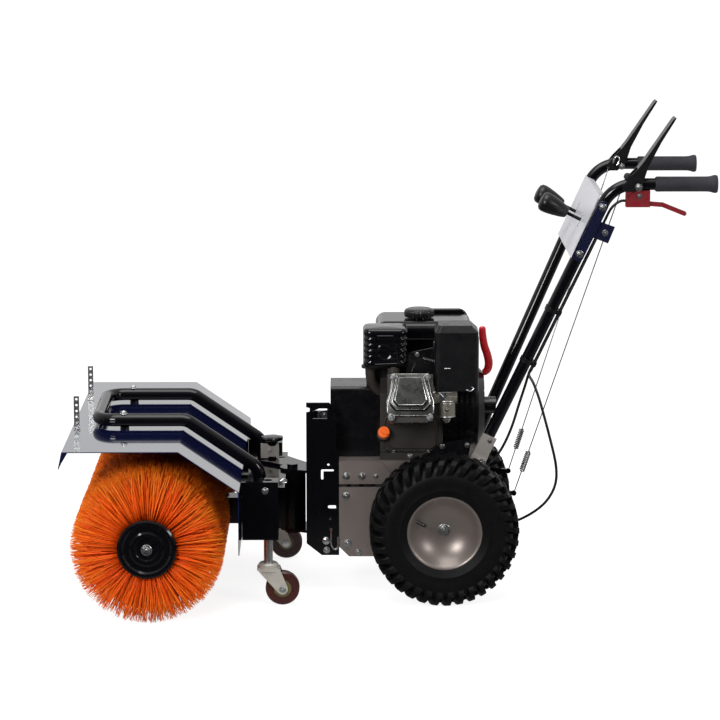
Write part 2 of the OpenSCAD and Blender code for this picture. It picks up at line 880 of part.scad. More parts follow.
module fuel_tank() {
  top = tank_low_z + tank_h;
  rod_y = tank_near_y - tank_w + guard_rod_y;
  color(black) place() {
    difference() {
      union() {
        tank_body();
        translate([cap_at[0], cap_at[1], top - neck_h]) cylinder(h = 2 * neck_h, r = neck_r);
      }
      translate([cap_at[0], cap_at[1], top + neck_h - cap_plug_l - overrun])
        cylinder(h = cap_plug_l + 2 * overrun, r = cap_plug_r + running);
    }
    bent_tube([
      [guard_rod_x[0], rod_y, top - 2 * guard_rod_r], [guard_rod_x[0], rod_y, top + guard_rod_rise],
      [guard_rod_x[1], rod_y, top + guard_rod_rise], [guard_rod_x[1], rod_y, top - tank_round]
    ], guard_rod_r, guard_rod_r / 2, guard_rod_bend);
  }
}

module fuel_cap() {
  color(black) place() translate([cap_at[0], cap_at[1], tank_low_z + tank_h + neck_h + pass_gap]) {
    difference() {
      rotate_extrude() polygon([
        [0, 0], [cap_r, 0], [cap_r, cap_h - cap_bevel], [cap_r - cap_bevel, cap_h], [0, cap_h]
      ]);
      for (i = [0:cap_notches - 1])
        rotate([0, 0, i * 360 / cap_notches]) translate([cap_r + cap_notch_r / 2, 0, -overrun])
          cylinder(h = cap_h + 2 * overrun, r = cap_notch_r);
    }
    translate([0, 0, -cap_plug_l]) cylinder(h = cap_plug_l + overrun, r = cap_plug_r);
  }
}

// Muffler under its slotted guard
muffler_rise = 216;
muffler_low_z = bed_top_z + muffler_rise;
muffler_gap = 5;
muffler_near_y = 116;
guard_t = 1.5;
guard_round = 12;
guard_slots = 6;
guard_slot_h = 6;
guard_slot_share = 0.3;
guard_stud_r = 4;

// Outline in X and Z with true round corners
module round_rect(size, r) {
  translate([r, 0]) square([size[0] - 2 * r, size[1]]);
  translate([0, r]) square([size[0], size[1] - 2 * r]);
  for (x = [r, size[0] - r]) for (y = [r, size[1] - r]) translate([x, y]) circle(r);
}

muffler_x0 = muffler_x - muffler_size[0];
muffler_far_y = muffler_near_y - muffler_size[1];
muffler_body = [muffler_size[0] - 2 * muffler_gap, muffler_size[2] - 2 * muffler_gap];

module muffler() {
  color([0.13, 0.12, 0.12]) place() translate([muffler_x0 + muffler_gap, 0, muffler_low_z])
    side_slab(muffler_far_y + muffler_gap, muffler_near_y - muffler_gap)
      round_rect(muffler_body, guard_round);
}

module muffler_guard() {
  low_z = muffler_low_z - muffler_gap;
  window = muffler_size[0] - 4 * guard_round;
  pitch = (muffler_size[2] - 2 * guard_round) / guard_slots;
  color(black) place() {
    difference() {
      translate([muffler_x0, 0, low_z]) side_slab(muffler_far_y, muffler_near_y)
        round_rect([muffler_size[0], muffler_size[2]], guard_round);
      translate([muffler_x0 + guard_t, 0, low_z + guard_t])
        side_slab(muffler_far_y - overrun, muffler_near_y - guard_t)
          round_rect([muffler_size[0] - 2 * guard_t, muffler_size[2] - 2 * guard_t], guard_round - guard_t);
      block([muffler_x0 - overrun, muffler_far_y - overrun, low_z - overrun],
            [muffler_x + overrun, muffler_near_y - guard_t, low_z + guard_round]);
      for (i = [0:guard_slots - 1]) for (x = [0, 1])
        translate([muffler_x0 + 2 * guard_round + x * (window + guard_slot_h) / 2,
                   muffler_near_y - guard_t - overrun, low_z + guard_round + (i + guard_slot_share) * pitch])
          cube([(window - guard_slot_h) / 2, guard_t + 2 * overrun, guard_slot_h]);
    }
    for (x = [muffler_x0 + guard_round + muffler_gap, muffler_x - guard_round - muffler_gap])
      for (z = [low_z + 2 * guard_round, low_z + muffler_size[2] - 2 * guard_round])
        translate([x, muffler_near_y - muffler_gap, z]) axis_left()
          cylinder(h = muffler_gap - guard_t / 2, r = guard_stud_r);
  }
}

// Carburettor on the head's back side, carrying the air filter
carb_r = 15.5;
carb_y = 148;
carb_rise = 154;
carb_l = 46;
bowl_r = 19;
bowl_h = 44;
bowl_drop = 14;
carb_flange_t = 8;
carb_flange_half = 21;
elbow_w = 30;
carb_x = cylinder_x - head_half[0];
filter_rise = 170;
filter_low_z = bed_top_z + filter_rise;

module carburettor() {
  z = bed_top_z + carb_rise;
  color([0.60, 0.57, 0.50]) place() {
    translate([carb_x, carb_y, z]) rotate([0, -90, 0]) {
      cylinder(h = carb_l + carb_flange_t, r = carb_r);
      translate([-carb_flange_half / 2, -carb_flange_half, 0])
        cube([carb_flange_half, 2 * carb_flange_half, carb_flange_t]);
    }
    translate([carb_x - carb_flange_t - carb_l / 2, carb_y, z - bowl_h]) {
      cylinder(h = bowl_h, r = bowl_r);
      translate([0, 0, -bowl_drop / 2]) cylinder(h = bowl_drop, r = bowl_r / 2);
    }
    block([carb_x - carb_flange_t - carb_l, carb_y - elbow_w / 2, z],
          [carb_x - carb_flange_t - carb_l / 4, carb_y + elbow_w / 2, filter_low_z]);
  }
}

filter_x = 20;
filter_near_y = 170;
filter_cut = 15;
filter_round = 10;

module air_filter() {
  x0 = filter_x - filter_size[0];
  y0 = filter_near_y - filter_size[1];
  color(black) place() hull() {
    for (x = [x0 + filter_round, filter_x - filter_round])
      for (y = [y0 + filter_round, filter_near_y - filter_round])
        translate([x, y, filter_low_z]) cylinder(h = filter_size[2] - filter_cut, r = filter_round, $fn = 32);
    for (x = [x0 + filter_cut + filter_round, filter_x - filter_cut / 2 - filter_round])
      for (y = [y0 + filter_cut + filter_round, filter_near_y - filter_cut / 2 - filter_round])
        translate([x, y, filter_low_z]) cylinder(h = filter_size[2], r = filter_round, $fn = 32);
  }
}

module dipstick() {
  color([0.95, 0.38, 0.05]) place() dipstick_frame() {
    translate([0, 0, dipstick_boss_l + pass_gap]) cylinder(h = dipstick_cap_h, r = dipstick_cap_r);
    translate([0, 0, dipstick_boss_l - dipstick_stem_l])
      cylinder(h = dipstick_stem_l + overrun, r = dipstick_stem_r);
  }
}

// Belt drive between the crank and the gear case

cover_wall = 2;
cover_round = 8;
cover_back_x = crankcase_l + pto_l;
cover_hole_r = 32;
pulley_x = 168;
pulley_l = 56;
groove_x = [14, 42];
groove_w = 13;
groove_d = 9;
belt_w = 9;
belt_t = 7;
belt_lift = 0.8;

module belt_cover() {
  inner = [cover_size[1] - 2 * cover_wall, cover_size[2] - cover_wall];
  color(black) place() translate([cover_back_x, 0, bed_top_z]) difference() {
    rotate([90, 0, 90]) linear_extrude(cover_size[0])
      translate([-cover_size[1] / 2, -2 * cover_round])
        round_rect([cover_size[1], cover_size[2] + 2 * cover_round], cover_round);
    translate([cover_wall, 0, 0]) rotate([90, 0, 90]) linear_extrude(cover_size[0] - 2 * cover_wall)
      translate([-inner[0] / 2, -3 * cover_round])
        round_rect([inner[0], inner[1] + 3 * cover_round], cover_round - cover_wall);
    block([-overrun, -cover_size[1], -4 * cover_round], [cover_size[0] + overrun, cover_size[1], 0]);
    translate([-overrun, 0, crank_rise]) axis_forward()
      cylinder(h = cover_wall + 2 * overrun, r = cover_hole_r);
  }
}

module pulley(r, shaft_r, shaft_in) {
  rotate_extrude() difference() {
    square([r, pulley_l]);
    for (x = groove_x)
      polygon([
        [r - groove_d, x - groove_w / 2 + groove_d / 6], [r + overrun, x - groove_w / 2 - overrun / 6],
        [r + overrun, x + groove_w / 2 + overrun / 6], [r - groove_d, x + groove_w / 2 - groove_d / 6]
      ]);
  }
  translate([0, 0, -shaft_in]) cylinder(h = shaft_in + overrun, r = shaft_r);
}

module crank_pulley() {
  color(zinc) place() translate([pulley_x, 0, crank_z]) axis_forward()
    pulley(crank_pulley_r, crank_shaft_r, pulley_x - crankcase_l - pto_l + crank_bore_l - overrun);
}

module input_pulley() {
  color(zinc) place() translate([pulley_x, 0, input_z]) axis_forward()
    pulley(input_pulley_r, input_shaft_r, pulley_x - case_front_x - input_boss_l + input_bore_l - overrun);
}

module belt_loop(grow) {
  hull() {
    translate([0, crank_z]) circle(crank_pulley_r - groove_d + belt_lift + grow, $fn = 32);
    translate([0, input_z]) circle(input_pulley_r - groove_d + belt_lift + grow, $fn = 32);
  }
}

module drive_belts() {
  color(black) place() for (x = groove_x)
    translate([pulley_x + x - belt_w / 2, 0, 0]) rotate([90, 0, 90]) linear_extrude(belt_w) difference() {
      belt_loop(belt_t);
      belt_loop(0);
    }
}

// Handlebars

bar_r = bar_d / 2;
grip_y = grip_span / 2;
bar_foot_y = plate_out - bar_r - seat;
bar_foot = [-bar_foot_x, bar_foot_y, bar_foot_z];
bar_corner = [-bar_corner_x, grip_y, grip_z];
bar_end_in = 6;
bar_way = unit(bar_corner - bar_foot);
bar_lean = atan2(-bar_way.x, bar_way.z);
pivot_x = -416;
pivot_drop = 5;
pivot_z = grip_z - pivot_drop;
pivot_r = 4;

// Local axes of a left tube: forward-up, outward and along the tube
bar_side = unit(cross(bar_way, [cos(bar_lean), 0, sin(bar_lean)]));
bar_front = cross(bar_side, bar_way);

module bar_frame() {
  multmatrix([
    [bar_front.x, bar_side.x, bar_way.x, bar_foot.x],
    [bar_front.y, bar_side.y, bar_way.y, bar_foot.y],
    [bar_front.z, bar_side.z, bar_way.z, bar_foot.z],
    [0, 0, 0, 1]
  ]) children();
}

module handle_tubes() {
  color(black) place() both_sides() difference() {
    bent_tube([bar_foot, bar_corner, [bar_end_in - grip_back_x, grip_y, grip_z]], bar_r, bar_wall, bar_bend);
    translate([pivot_x, grip_y - bar_d, pivot_z]) axis_left() cylinder(h = 2 * bar_d, r = pivot_r + running);
  }
}

bracket_t = 4;
bracket_w = 36;
bracket_up = 50;
bracket_down = 46;

// Bent plates: the lower half lies on the bed's side, the upper half follows the tube
module handle_brackets() {
  w = bracket_w * waist_share;
  color(taupe) place() both_sides() {
    side_slab(plate_out, plate_out + bracket_t)
      translate([bar_foot.x, bar_foot.z]) rotate(bar_lean) {
        translate([0, -bracket_down]) circle(bracket_w / 2);
        translate([-w / 2, -bracket_down]) square([w, bracket_down]);
      }
    bar_frame() rotate([90, 0, 0]) translate([0, 0, -bar_r - seat - bracket_t]) linear_extrude(bracket_t) {
      translate([-w / 2, -bracket_t] * waist_share) square([w * waist_share, bracket_up + bracket_t]);
    }
  }
}

grip_bore_r = bar_r + seat;
grip_flare = 3;
grip_flare_l = 13;
grip_collar_l = 5;
grip_end_t = 4;

module grips() {
  r = grip_d / 2;
  color([0.13, 0.13, 0.14]) place() both_sides()
    translate([-grip_back_x, grip_y, grip_z]) axis_forward() rotate_extrude() polygon([
      [0, 0], [r + grip_flare - grip_end_t / 2, 0], [r + grip_flare, grip_end_t / 2],
      [r + grip_flare, grip_flare_l / 2], [r, 2 * grip_flare_l], [r, grip_l - grip_collar_l],
      [r - grip_collar_l / 2, grip_l], [grip_bore_r, grip_l], [grip_bore_r, grip_end_t], [0, grip_end_t]
    ]);
}

// Control panel in the plane of the tubes, counted along them from their lower ends
panel_mid = 566;
panel_half_w = 186;
panel_flange = 16;
panel_flange_half = 150;
shift_y = 70;
shift_pivot_n = -28;
shift_pin_r = 5;
shift_lug_gap = 9;
shift_lug_t = 3;
shift_lug_half = 11;
shift_deg = 12;
shift_rod_w = 12;
shift_rod_t = 6;
shift_hub_r = 10;
shift_rod_l = 120;
shift_slot_half = 20;
shift_slot_w = 11;
knob_low = 54;
knob_l = 60;
panel_n = bar_r + seat;

module panel_frame() {
  translate([-bar_foot_x, 0, bar_foot_z]) rotate([0, -bar_lean, 0]) children();
}

module control_panel() {
  color([0.80, 0.81, 0.83]) place() panel_frame() translate([0, 0, panel_mid]) {
    difference() {
      block([panel_n, -panel_half_w, -panel_l / 2], [panel_n + panel_t, panel_half_w, panel_l / 2]);
      for (side = [1, -1])
        block([panel_n - overrun, side * shift_y - shift_slot_w / 2, -shift_slot_half],
              [panel_n + panel_t + overrun, side * shift_y + shift_slot_w / 2, shift_slot_half]);
    }
    for (z = [-panel_l / 2, panel_l / 2 - panel_t])
      block([panel_n - panel_flange, -panel_flange_half, z],
            [panel_n + panel_t / 2, panel_flange_half, z + panel_t]);
    for (side = [1, -1]) {
      for (y = [-shift_lug_gap - shift_lug_t, shift_lug_gap])
        block([shift_pivot_n - shift_lug_half, side * shift_y + y, -shift_lug_half],
              [panel_n + panel_t / 2, side * shift_y + y + shift_lug_t, shift_lug_half]);
      translate([shift_pivot_n, side * shift_y - shift_lug_gap - shift_lug_t, 0]) axis_left()
        cylinder(h = 2 * (shift_lug_gap + shift_lug_t), r = shift_pin_r);
    }
  }
}

module shift_frame(side) {
  panel_frame() translate([shift_pivot_n, side * shift_y, panel_mid]) children();
}

module shift_rod(side) {
  color(black) place() shift_frame(side) difference() {
    union() {
      axis_left() translate([0, 0, -shift_rod_t / 2]) cylinder(h = shift_rod_t, r = shift_hub_r);
      block([0, -shift_rod_t / 2, -shift_rod_w / 2], [shift_rod_l, shift_rod_t / 2, shift_rod_w / 2]);
    }
    axis_left() translate([0, 0, -shift_rod_t]) cylinder(h = 2 * shift_rod_t, r = shift_pin_r + running);
  }
}

module shift_rod_left() { shift_rod(1); }
module shift_rod_right() { shift_rod(-1); }
// Knob: narrow collar, swelling body and rounded top, as shares of length and radius
knob_radius = 20;
knob_shares = [[0, 0.55], [0.10, 0.62], [0.35, 0.85], [0.70, 1], [0.88, 0.95], [0.97, 0.75], [1, 0]];

module shift_knob(side) {
  start = knob_low - shift_pivot_n;
  color([0.05, 0.05, 0.05]) place() shift_frame(side) difference() {
    translate([start, 0, 0]) axis_forward() rotate_extrude()
      polygon(concat([[0, 0]], [for (s = knob_shares) [s[1] * knob_radius, s[0] * knob_l]]));
    block([start - overrun, -shift_rod_t / 2 - seat, -shift_rod_w / 2 - seat],
          [shift_rod_l + seat, shift_rod_t / 2 + seat, shift_rod_w / 2 + seat]);
  }
}

module shift_knob_left() { shift_knob(1); }
module shift_knob_right() { shift_knob(-1); }
// Side plates on the tubes, and the cable bracket behind the left tube
side_plate_from = 508;
side_plate_to = 622;
side_plate_w = 27;
side_plate_t = 3;
cable_bracket_n = 47;
cable_bracket_from = 545;
cable_bracket_l = 34;
cable_bracket_t = 3;

module panel_plates() {
  color(navy) place() {
    both_sides() bar_frame() rotate([90, 0, 0])
      translate([0, 0, -bar_r - seat - side_plate_t]) linear_extrude(side_plate_t)
        slot_outline([0, side_plate_from], [0, side_plate_to], side_plate_w);
    bar_frame() block([-cable_bracket_n, -cable_bracket_t / 2, cable_bracket_from],
                      [-bar_r - seat, cable_bracket_t / 2, cable_bracket_from + cable_bracket_l]);
  }
}

// Clutch levers: bent channels that straddle the tube, drawn in X and Z from the pivot
cheek_in = 17.5;
cheek_t = 3;
lever_web_t = 3;
lever_pin_head = 2;
lever_tip_shares = [-0.482, 0.870];
lever_tip = lever_l * lever_tip_shares;
lever_tail = [31, -3];
lever_round = 9;

// Front edge of the channel, from above the tube to the tip
lever_tip_w = [6, 4];
lever_tail_w = [[4, -6], [4, 6]];
lever_front = [[18, 26], [-8, 52], lever_tip + lever_tip_w];
lever_back = [lever_tip, [-40, 52], [-16, 10], [-8, -6], [8, -9]];

module lever_cheek() {
  polygon(concat([for (w = lever_tail_w) lever_tail + w], lever_front, lever_back));
  circle(lever_round);
}

module clutch_lever() {
  color(black) place() translate([pivot_x, grip_y, pivot_z]) {
    side_slab(cheek_in, cheek_in + cheek_t) lever_cheek();
    side_slab(-cheek_in - cheek_t, -cheek_in) lever_cheek();
    side_slab(-cheek_in - overrun / 2, cheek_in + overrun / 2) bent_sheet(lever_front, lever_web_t);
    translate([0, -cheek_in - cheek_t - lever_pin_head, 0]) axis_left()
      cylinder(h = 2 * (cheek_in + cheek_t + lever_pin_head), r = pivot_r);
  }
}

module clutch_lever_left() { on_side(1) clutch_lever(); }
module clutch_lever_right() { on_side(-1) clutch_lever(); }
// Tension arms behind the gear case, and the clutch wires that pull them
arm_y = plate_out + arm_boss_l + pass_gap;
arm_t = 5;
arm_end = [-158, 228];
arm_end_r = 6;
arm_w = 9;
nipple_r = 3;
nipple_l = 7;
nipple_gap = 0.7;
wire_y = grip_y - cheek_in - cheek_t - nipple_gap - nipple_l / 2;
wire_top = [pivot_x + lever_tail[0], wire_y, pivot_z + lever_tail[1]];
wire_low = [arm_end[0], arm_y + arm_t / 2, arm_end[1]];
wire_way = unit(wire_top - wire_low);
hook_gap = 0.6;
hook_l = 42;

module tension_arm() {
  color(zinc) place() side_slab(arm_y, arm_y + arm_t) difference() {
    union() {
      slot_outline(arm_pivot, arm_end, arm_w);
      translate(arm_pivot) circle(arm_boss_r);
      translate(arm_end) circle(arm_end_r);
    }
    translate(arm_pivot) circle(arm_pin_r + running);
  }
}

module tension_arm_left() { on_side(1) tension_arm(); }
module tension_arm_right() { on_side(-1) tension_arm(); }
// Spring centre line: straight on the axis, out to the coil, round, and back to the axis
coil_r = (spring_d - wire_d) / 2;
coil_steps = 8 * spring_turns;
coil_lead = 4;
coil_run = spring_l - 4 * wire_d;
spring_path = concat(
  [[0, 0, 0], [0, 0, wire_d]],
  [for (i = [0:coil_steps])
    let (grow = min(1, min(i, coil_steps - i) / coil_lead), a = 360 * i / 8)
    [coil_r * grow * cos(a), coil_r * grow * sin(a), 2 * wire_d + coil_run * i / coil_steps]],
  [[0, 0, spring_l - wire_d], [0, 0, spring_l]]
);
spring_axes = [for (i = [0:len(spring_path) - 1])
  let (a = 45 * max(0, min(i - 2, coil_steps))) [cos(a), sin(a), 0]];
spring_gap = min([for (i = [0:len(spring_path) - 1]) for (j = [0:len(spring_path) - 1])
  if (j > i + 5) norm(spring_path[j] - spring_path[i])]) - wire_d;

module along_wire(from) {
  start = wire_low + wire_way * from;
  translate(start)
    rotate([0, acos(wire_way.z), atan2(wire_way.y, wire_way.x)]) children();
}

module clutch_wire() {
  hook_from = arm_end_r + hook_gap;
  wire_l = norm(wire_top - wire_low);
  color(zinc) place() {
    along_wire(hook_from) cylinder(h = hook_l, r = wire_d / 2);
    along_wire(hook_from + hook_l - wire_d / 2) swept_tube(spring_path, wire_d / 2, 6, spring_axes);
    along_wire(hook_from + hook_l + spring_l - wire_d)
      cylinder(h = wire_l - hook_from - hook_l - spring_l + wire_d, r = wire_d / 2);
    translate(wire_top - [0, nipple_l / 2, 0]) axis_left() cylinder(h = nipple_l, r = nipple_r);
  }
}

module clutch_wire_left() { on_side(1) clutch_wire(); }
module clutch_wire_right() { on_side(-1) clutch_wire(); }
echo(spring_gap_to_itself = spring_gap);

// Red hand lever in its box under the left tube
box_back_x = -442;
box_l = 52;
box_h = 36;
box_half = 11;
box_slot_l = 20;
box_slot_half = 4.4;
box_slot_up = 9;
box_cut = [20, 14];
red_blade_half = 4;
red_pivot = [-434, 889];
red_pin_r = 3;
red_hub_r = 6;
red_bend = [-470, 886];
red_tip = [-517, 867];
red_w = 10;

module red_lever_box() {
  top = grip_z - bar_r - seat;
  front = box_back_x + box_l;
  color(red) place() translate([0, grip_y, 0]) {
    difference() {
      side_slab(-box_half, box_half) polygon([
        [box_back_x, top - box_h], [front, top - box_h], [front, top - box_cut.y], [front - box_cut.x, top],
        [box_back_x, top]
      ]);
      block([box_back_x - overrun, -box_slot_half, top - box_h - overrun],
            [box_back_x + box_slot_l, box_slot_half, red_pivot[1] + box_slot_up]);
    }
    translate([red_pivot[0], -box_half, red_pivot[1]]) axis_left() cylinder(h = 2 * box_half, r = red_pin_r);
  }
}

module red_lever() {
  color(red) place() translate([0, grip_y, 0]) side_slab(-red_blade_half, red_blade_half) difference() {
    union() {
      translate(red_pivot) circle(red_hub_r);
      slot_outline(red_pivot, red_bend, red_w);
      slot_outline(red_bend, red_tip, red_w);
    }
    translate(red_pivot) circle(red_pin_r + running);
  }
}

// Sheathed cables: hand-chosen points, and between them a run along the back of the left tube
clip_cable_n = -19;
clip_cable_side = 6;
cable_run = [545, 470, 385, 350, 300, 256, 228, 214];

function beside_bar(side, runs) = [
  for (s = runs) bar_foot + bar_front * clip_cable_n + bar_side * side * clip_cable_side + bar_way * s
];

lever_cable = concat(
  [[-390, 197, 895], [-377, 196, 893], [-360, 191, 878], [-346, 188, 850]],
  beside_bar(1, cable_run),
  [
    [-198, 141, 482], [-210, 146, 450], [-223, 149, 405], [-235, 149, 360], [-245, 148, 320],
    [-250, 146, 290], [-250, 142, 262], [-243, 136, 236], [-228, 128, 210], [-205, 118, 187],
    [-175, 104, 166], [-145, 89, 153], [-120, 78, 149], [-102, 75, 148]
  ]
);
cable_start = 585;
engine_cable = concat(
  beside_bar(-1, concat([cable_start], cable_run)),
  [
    [-180, 119, 470], [-168, 114, 430], [-155, 110, 385], [-142, 105, 350], [-128, 101, 322],
    [-112, 97, 300], [-90, 95, 284]
  ]
);
cable_steps = 2;

function cable_points(route) = [
  for (i = [0:cable_steps * (len(route) - 1)]) curve_point(route, i / cable_steps)
];

module cable(route) {
  p = cable_points(route);
  swept_tube(p, cable_d / 2, 8, [for (q = p) [0, 1, 0]]);
}

module sheathed_cables() {
  color([0.04, 0.04, 0.04]) place() {
    cable(lever_cable);
    cable(engine_cable);
  }
}

// Clips that tie both cables to the tube
clip_at = [236, 366];
clip_w = 10;
clip_t = 1.5;

module cable_clips() {
  color(black) place() bar_frame() for (s = clip_at)
    translate([0, 0, s]) linear_extrude(clip_w) difference() {
    union() {
      circle(bar_r + seat + clip_t);
      translate([clip_cable_n - cable_d / 2 - clip_t, -clip_cable_side - cable_d / 2 - clip_t])
        square([-clip_cable_n, 2 * clip_cable_side + cable_d + 2 * clip_t]);
    }
    circle(bar_r + seat);
    for (side = [1, -1]) translate([clip_cable_n, side * clip_cable_side]) circle(cable_d / 2 + 3 * seat);
  }
}

// Brush head

beam_half = caster_span / 2 - caster_sleeve_w / 2;
beam_t = 5;
head_plate_t = 6;
head_plate_back = 14;
sleeve_low_z = 150;
sleeve_top_z = 280;
gusset_t = 8;
barrel_r = 30;
neck_half = 26;
arm_half = 25;
arm_low_z = 138;
arm_top_z = 198;
arm_front_x = 574;
beam_back_x = beam_x - beam_l / 2;
beam_front_x = beam_x + beam_l / 2;
knob_x = swivel_x + knob_r * cos(knob_deg);
knob_y = knob_r * sin(knob_deg);
stem_r = caster_stem_d / 2;

module head_beam() {
  low = swivel_low_z + pass_gap;
  color(black) place() difference() {
    union() {
      block([swivel_x + head_plate_back, -beam_half, beam_top_z - head_plate_t],
            [beam_front_x, beam_half, beam_top_z]);
      for (x = [beam_back_x, beam_front_x - beam_t])
        block([x, -beam_half, beam_low_z], [x + beam_t, beam_half, beam_top_z - head_plate_t]);
      both_sides() translate([caster_x - caster_sleeve_w / 2, beam_half, sleeve_low_z])
        cube([caster_sleeve_w, caster_sleeve_w, sleeve_top_z - sleeve_low_z]);
      both_sides()
        block([caster_x, beam_half + caster_sleeve_w - gusset_t, sleeve_low_z],
              [flap_x - seat, beam_half + caster_sleeve_w, sleeve_top_z]);
      translate([swivel_x, 0, low]) cylinder(h = beam_top_z - low, r = barrel_r);
      block([swivel_x, -neck_half, low], [beam_back_x + beam_t, neck_half, beam_top_z - head_plate_t]);
      block([beam_front_x - beam_t, -arm_half, arm_low_z], [arm_front_x, arm_half, arm_top_z]);
      block([beam_back_x, -arm_half, arm_low_z], [beam_front_x, arm_half, arm_top_z]);
    }
    translate([swivel_x, 0, low - overrun]) cylinder(h = beam_top_z, r = king_pin_r + running);
    translate([knob_x, knob_y, beam_top_z - head_plate_t - overrun])
      cylinder(h = head_plate_t + 2 * overrun, r = knob_bolt_r + running);
    both_sides() translate([caster_x, caster_span / 2, sleeve_low_z - overrun])
      cylinder(h = sleeve_top_z - sleeve_low_z + 2 * overrun, r = stem_r + running);
  }
}

star_r = 29;
star_lobe_r = 8;
star_lobes = 6;
star_h = 12;
collar_r = 13;
collar_h = 10;
clamp_stem_h = 30;
clamp_bolt_l = lug_t + head_plate_t;
clamp_gap = 0.6;

module clamp_knob() {
  color([0.05, 0.05, 0.05]) place() translate([knob_x, knob_y, swivel_top_z + lug_t + clamp_gap]) {
    translate([0, 0, -clamp_bolt_l]) cylinder(h = clamp_bolt_l + clamp_stem_h + collar_h, r = knob_bolt_r);
    cylinder(h = collar_h / 2, r = collar_r);
    translate([0, 0, clamp_stem_h]) cylinder(h = collar_h, r = collar_r);
    translate([0, 0, clamp_stem_h + collar_h]) {
      cylinder(h = star_h, r = star_r - star_lobe_r);
      for (i = [0:star_lobes - 1])
        rotate([0, 0, i * 360 / star_lobes]) translate([star_r - star_lobe_r, 0, 0])
          cylinder(h = star_h, r = star_lobe_r);
    }
  }
}

// Hood: front lip, flat top, sloped back and upright flap, from one bent sheet
flap_gap = 9;
flap_x = beam_front_x + flap_gap;
hood_slope = atan2(hood_top_z - flap_top_z, hood_bend_x - flap_x);
arm_notch = 4;
hood_line = [
  [hood_front_x + lip_lean, hood_top_z - hood_lip], [hood_front_x, hood_top_z],
  [hood_bend_x, hood_top_z], [flap_x, flap_top_z], [flap_x, hood_flap_z]
];

module hood() {
  color(navy) place() difference() {
    side_slab(-hood_w / 2, hood_w / 2) bent_sheet(hood_line, hood_t);
    block([flap_x - overrun, -arm_half - arm_notch, hood_flap_z - overrun],
          [flap_x + hood_t + overrun, arm_half + arm_notch, arm_top_z + arm_notch]);
  }
}

// Loop bar over the hood, standing on the head
loop_r = loop_d / 2;
loop_z = hood_top_z + loop_lift + loop_r;
loop_y = loop_span / 2;
loop_bend = 40;
loop_bend_x = hood_bend_x - (loop_r + loop_lift) * tan(hood_slope / 2);
loop_foot_z = loop_z - (loop_bend_x - beam_x) * tan(hood_slope);

module loop_bar() {
  color(black) place() bent_tube([
    [beam_x, loop_y, beam_top_z], [beam_x, loop_y, loop_foot_z], [loop_bend_x, loop_y, loop_z],
    [loop_front_x, loop_y, loop_z], [loop_front_x, -loop_y, loop_z],
    [loop_bend_x, -loop_y, loop_z], [beam_x, -loop_y, loop_foot_z], [beam_x, -loop_y, beam_top_z]
  ], loop_r, loop_wall, loop_bend);
}

spacer_r = 10;
spacer_x = 705;
flap_spacer = [120, 215];

module hood_spacers() {
  color(zinc) place() both_sides() {
    translate([spacer_x, loop_y, hood_top_z]) cylinder(h = loop_lift - seat / 2, r = spacer_r);
    translate([beam_front_x, flap_spacer[0], flap_spacer[1]]) axis_forward()
      cylinder(h = flap_gap, r = spacer_r);
  }
}

strap_x = 808;
strap_w = 12;
strap_t = 3;
strap_hole_r = 2.75;
strap_holes = 6;
strap_foot = 16;

module hood_straps() {
  pitch = strap_h / strap_holes;
  color(zinc) place() both_sides() translate([strap_x, strap_span / 2, hood_top_z]) {
    difference() {
      block([-strap_w / 2, 0, 0], [strap_w / 2, strap_t, strap_h]);
      for (i = [0:strap_holes - 1])
        translate([0, -overrun, i * pitch + pitch / 2]) axis_left()
          cylinder(h = strap_t + 2 * overrun, r = strap_hole_r);
    }
    block([-strap_w / 2, -strap_foot, 0], [strap_w / 2, strap_t, strap_t]);
  }
}

// Brush with its gearbox in the middle

gearbox_r = 58;
gearbox_half = 27;
gearbox_lip = 2;
brush_axle_r = brush_axle_d / 2;
sleeve_r = sleeve_d / 2;
sleeve_t = 8;
spider_t = 8;
spider_in = 10;
collar_gap = 1;
axle_collar_r = 24;
strand_root = 3;
strand_taper_share = 0.75;

module brush_gearbox() {
  color(black) place() difference() {
    union() {
      translate([brush_x, -gearbox_half, brush_z]) axis_left() cylinder(h = 2 * gearbox_half, r = gearbox_r);
      block([arm_front_x, -gearbox_half, arm_low_z - gearbox_lip],
            [brush_x, gearbox_half, arm_top_z + gearbox_lip]);
    }
    translate([brush_x, -gearbox_half - overrun, brush_z]) axis_left()
      cylinder(h = 2 * (gearbox_half + overrun), r = brush_axle_r + running);
  }
}

module brush_axle() {
  color(zinc) place() translate([brush_x, 0, brush_z]) {
    translate([0, -brush_half, 0]) axis_left() cylinder(h = 2 * brush_half, r = brush_axle_r);
    both_sides() axis_left() {
      translate([0, 0, gearbox_half + collar_gap])
        cylinder(h = brush_gap_half + spider_in - gearbox_half - collar_gap, r = axle_collar_r);
      for (y = [brush_gap_half + spider_in, brush_half - spider_in - spider_t])
        translate([0, 0, y]) cylinder(h = spider_t, r = sleeve_r - sleeve_t - seat);
    }
  }
}

// One strand: three corners at its root in the sleeve and three, drawn in, at its tip
function strand_end(a, y, r, w) =
  let (out = [cos(a), 0, sin(a)], round = [-sin(a), 0, cos(a)], along = [0, 1, 0])
  [for (k = [0:2]) out * r + along * y + w * (round * cos(120 * k) + along * sin(120 * k))];

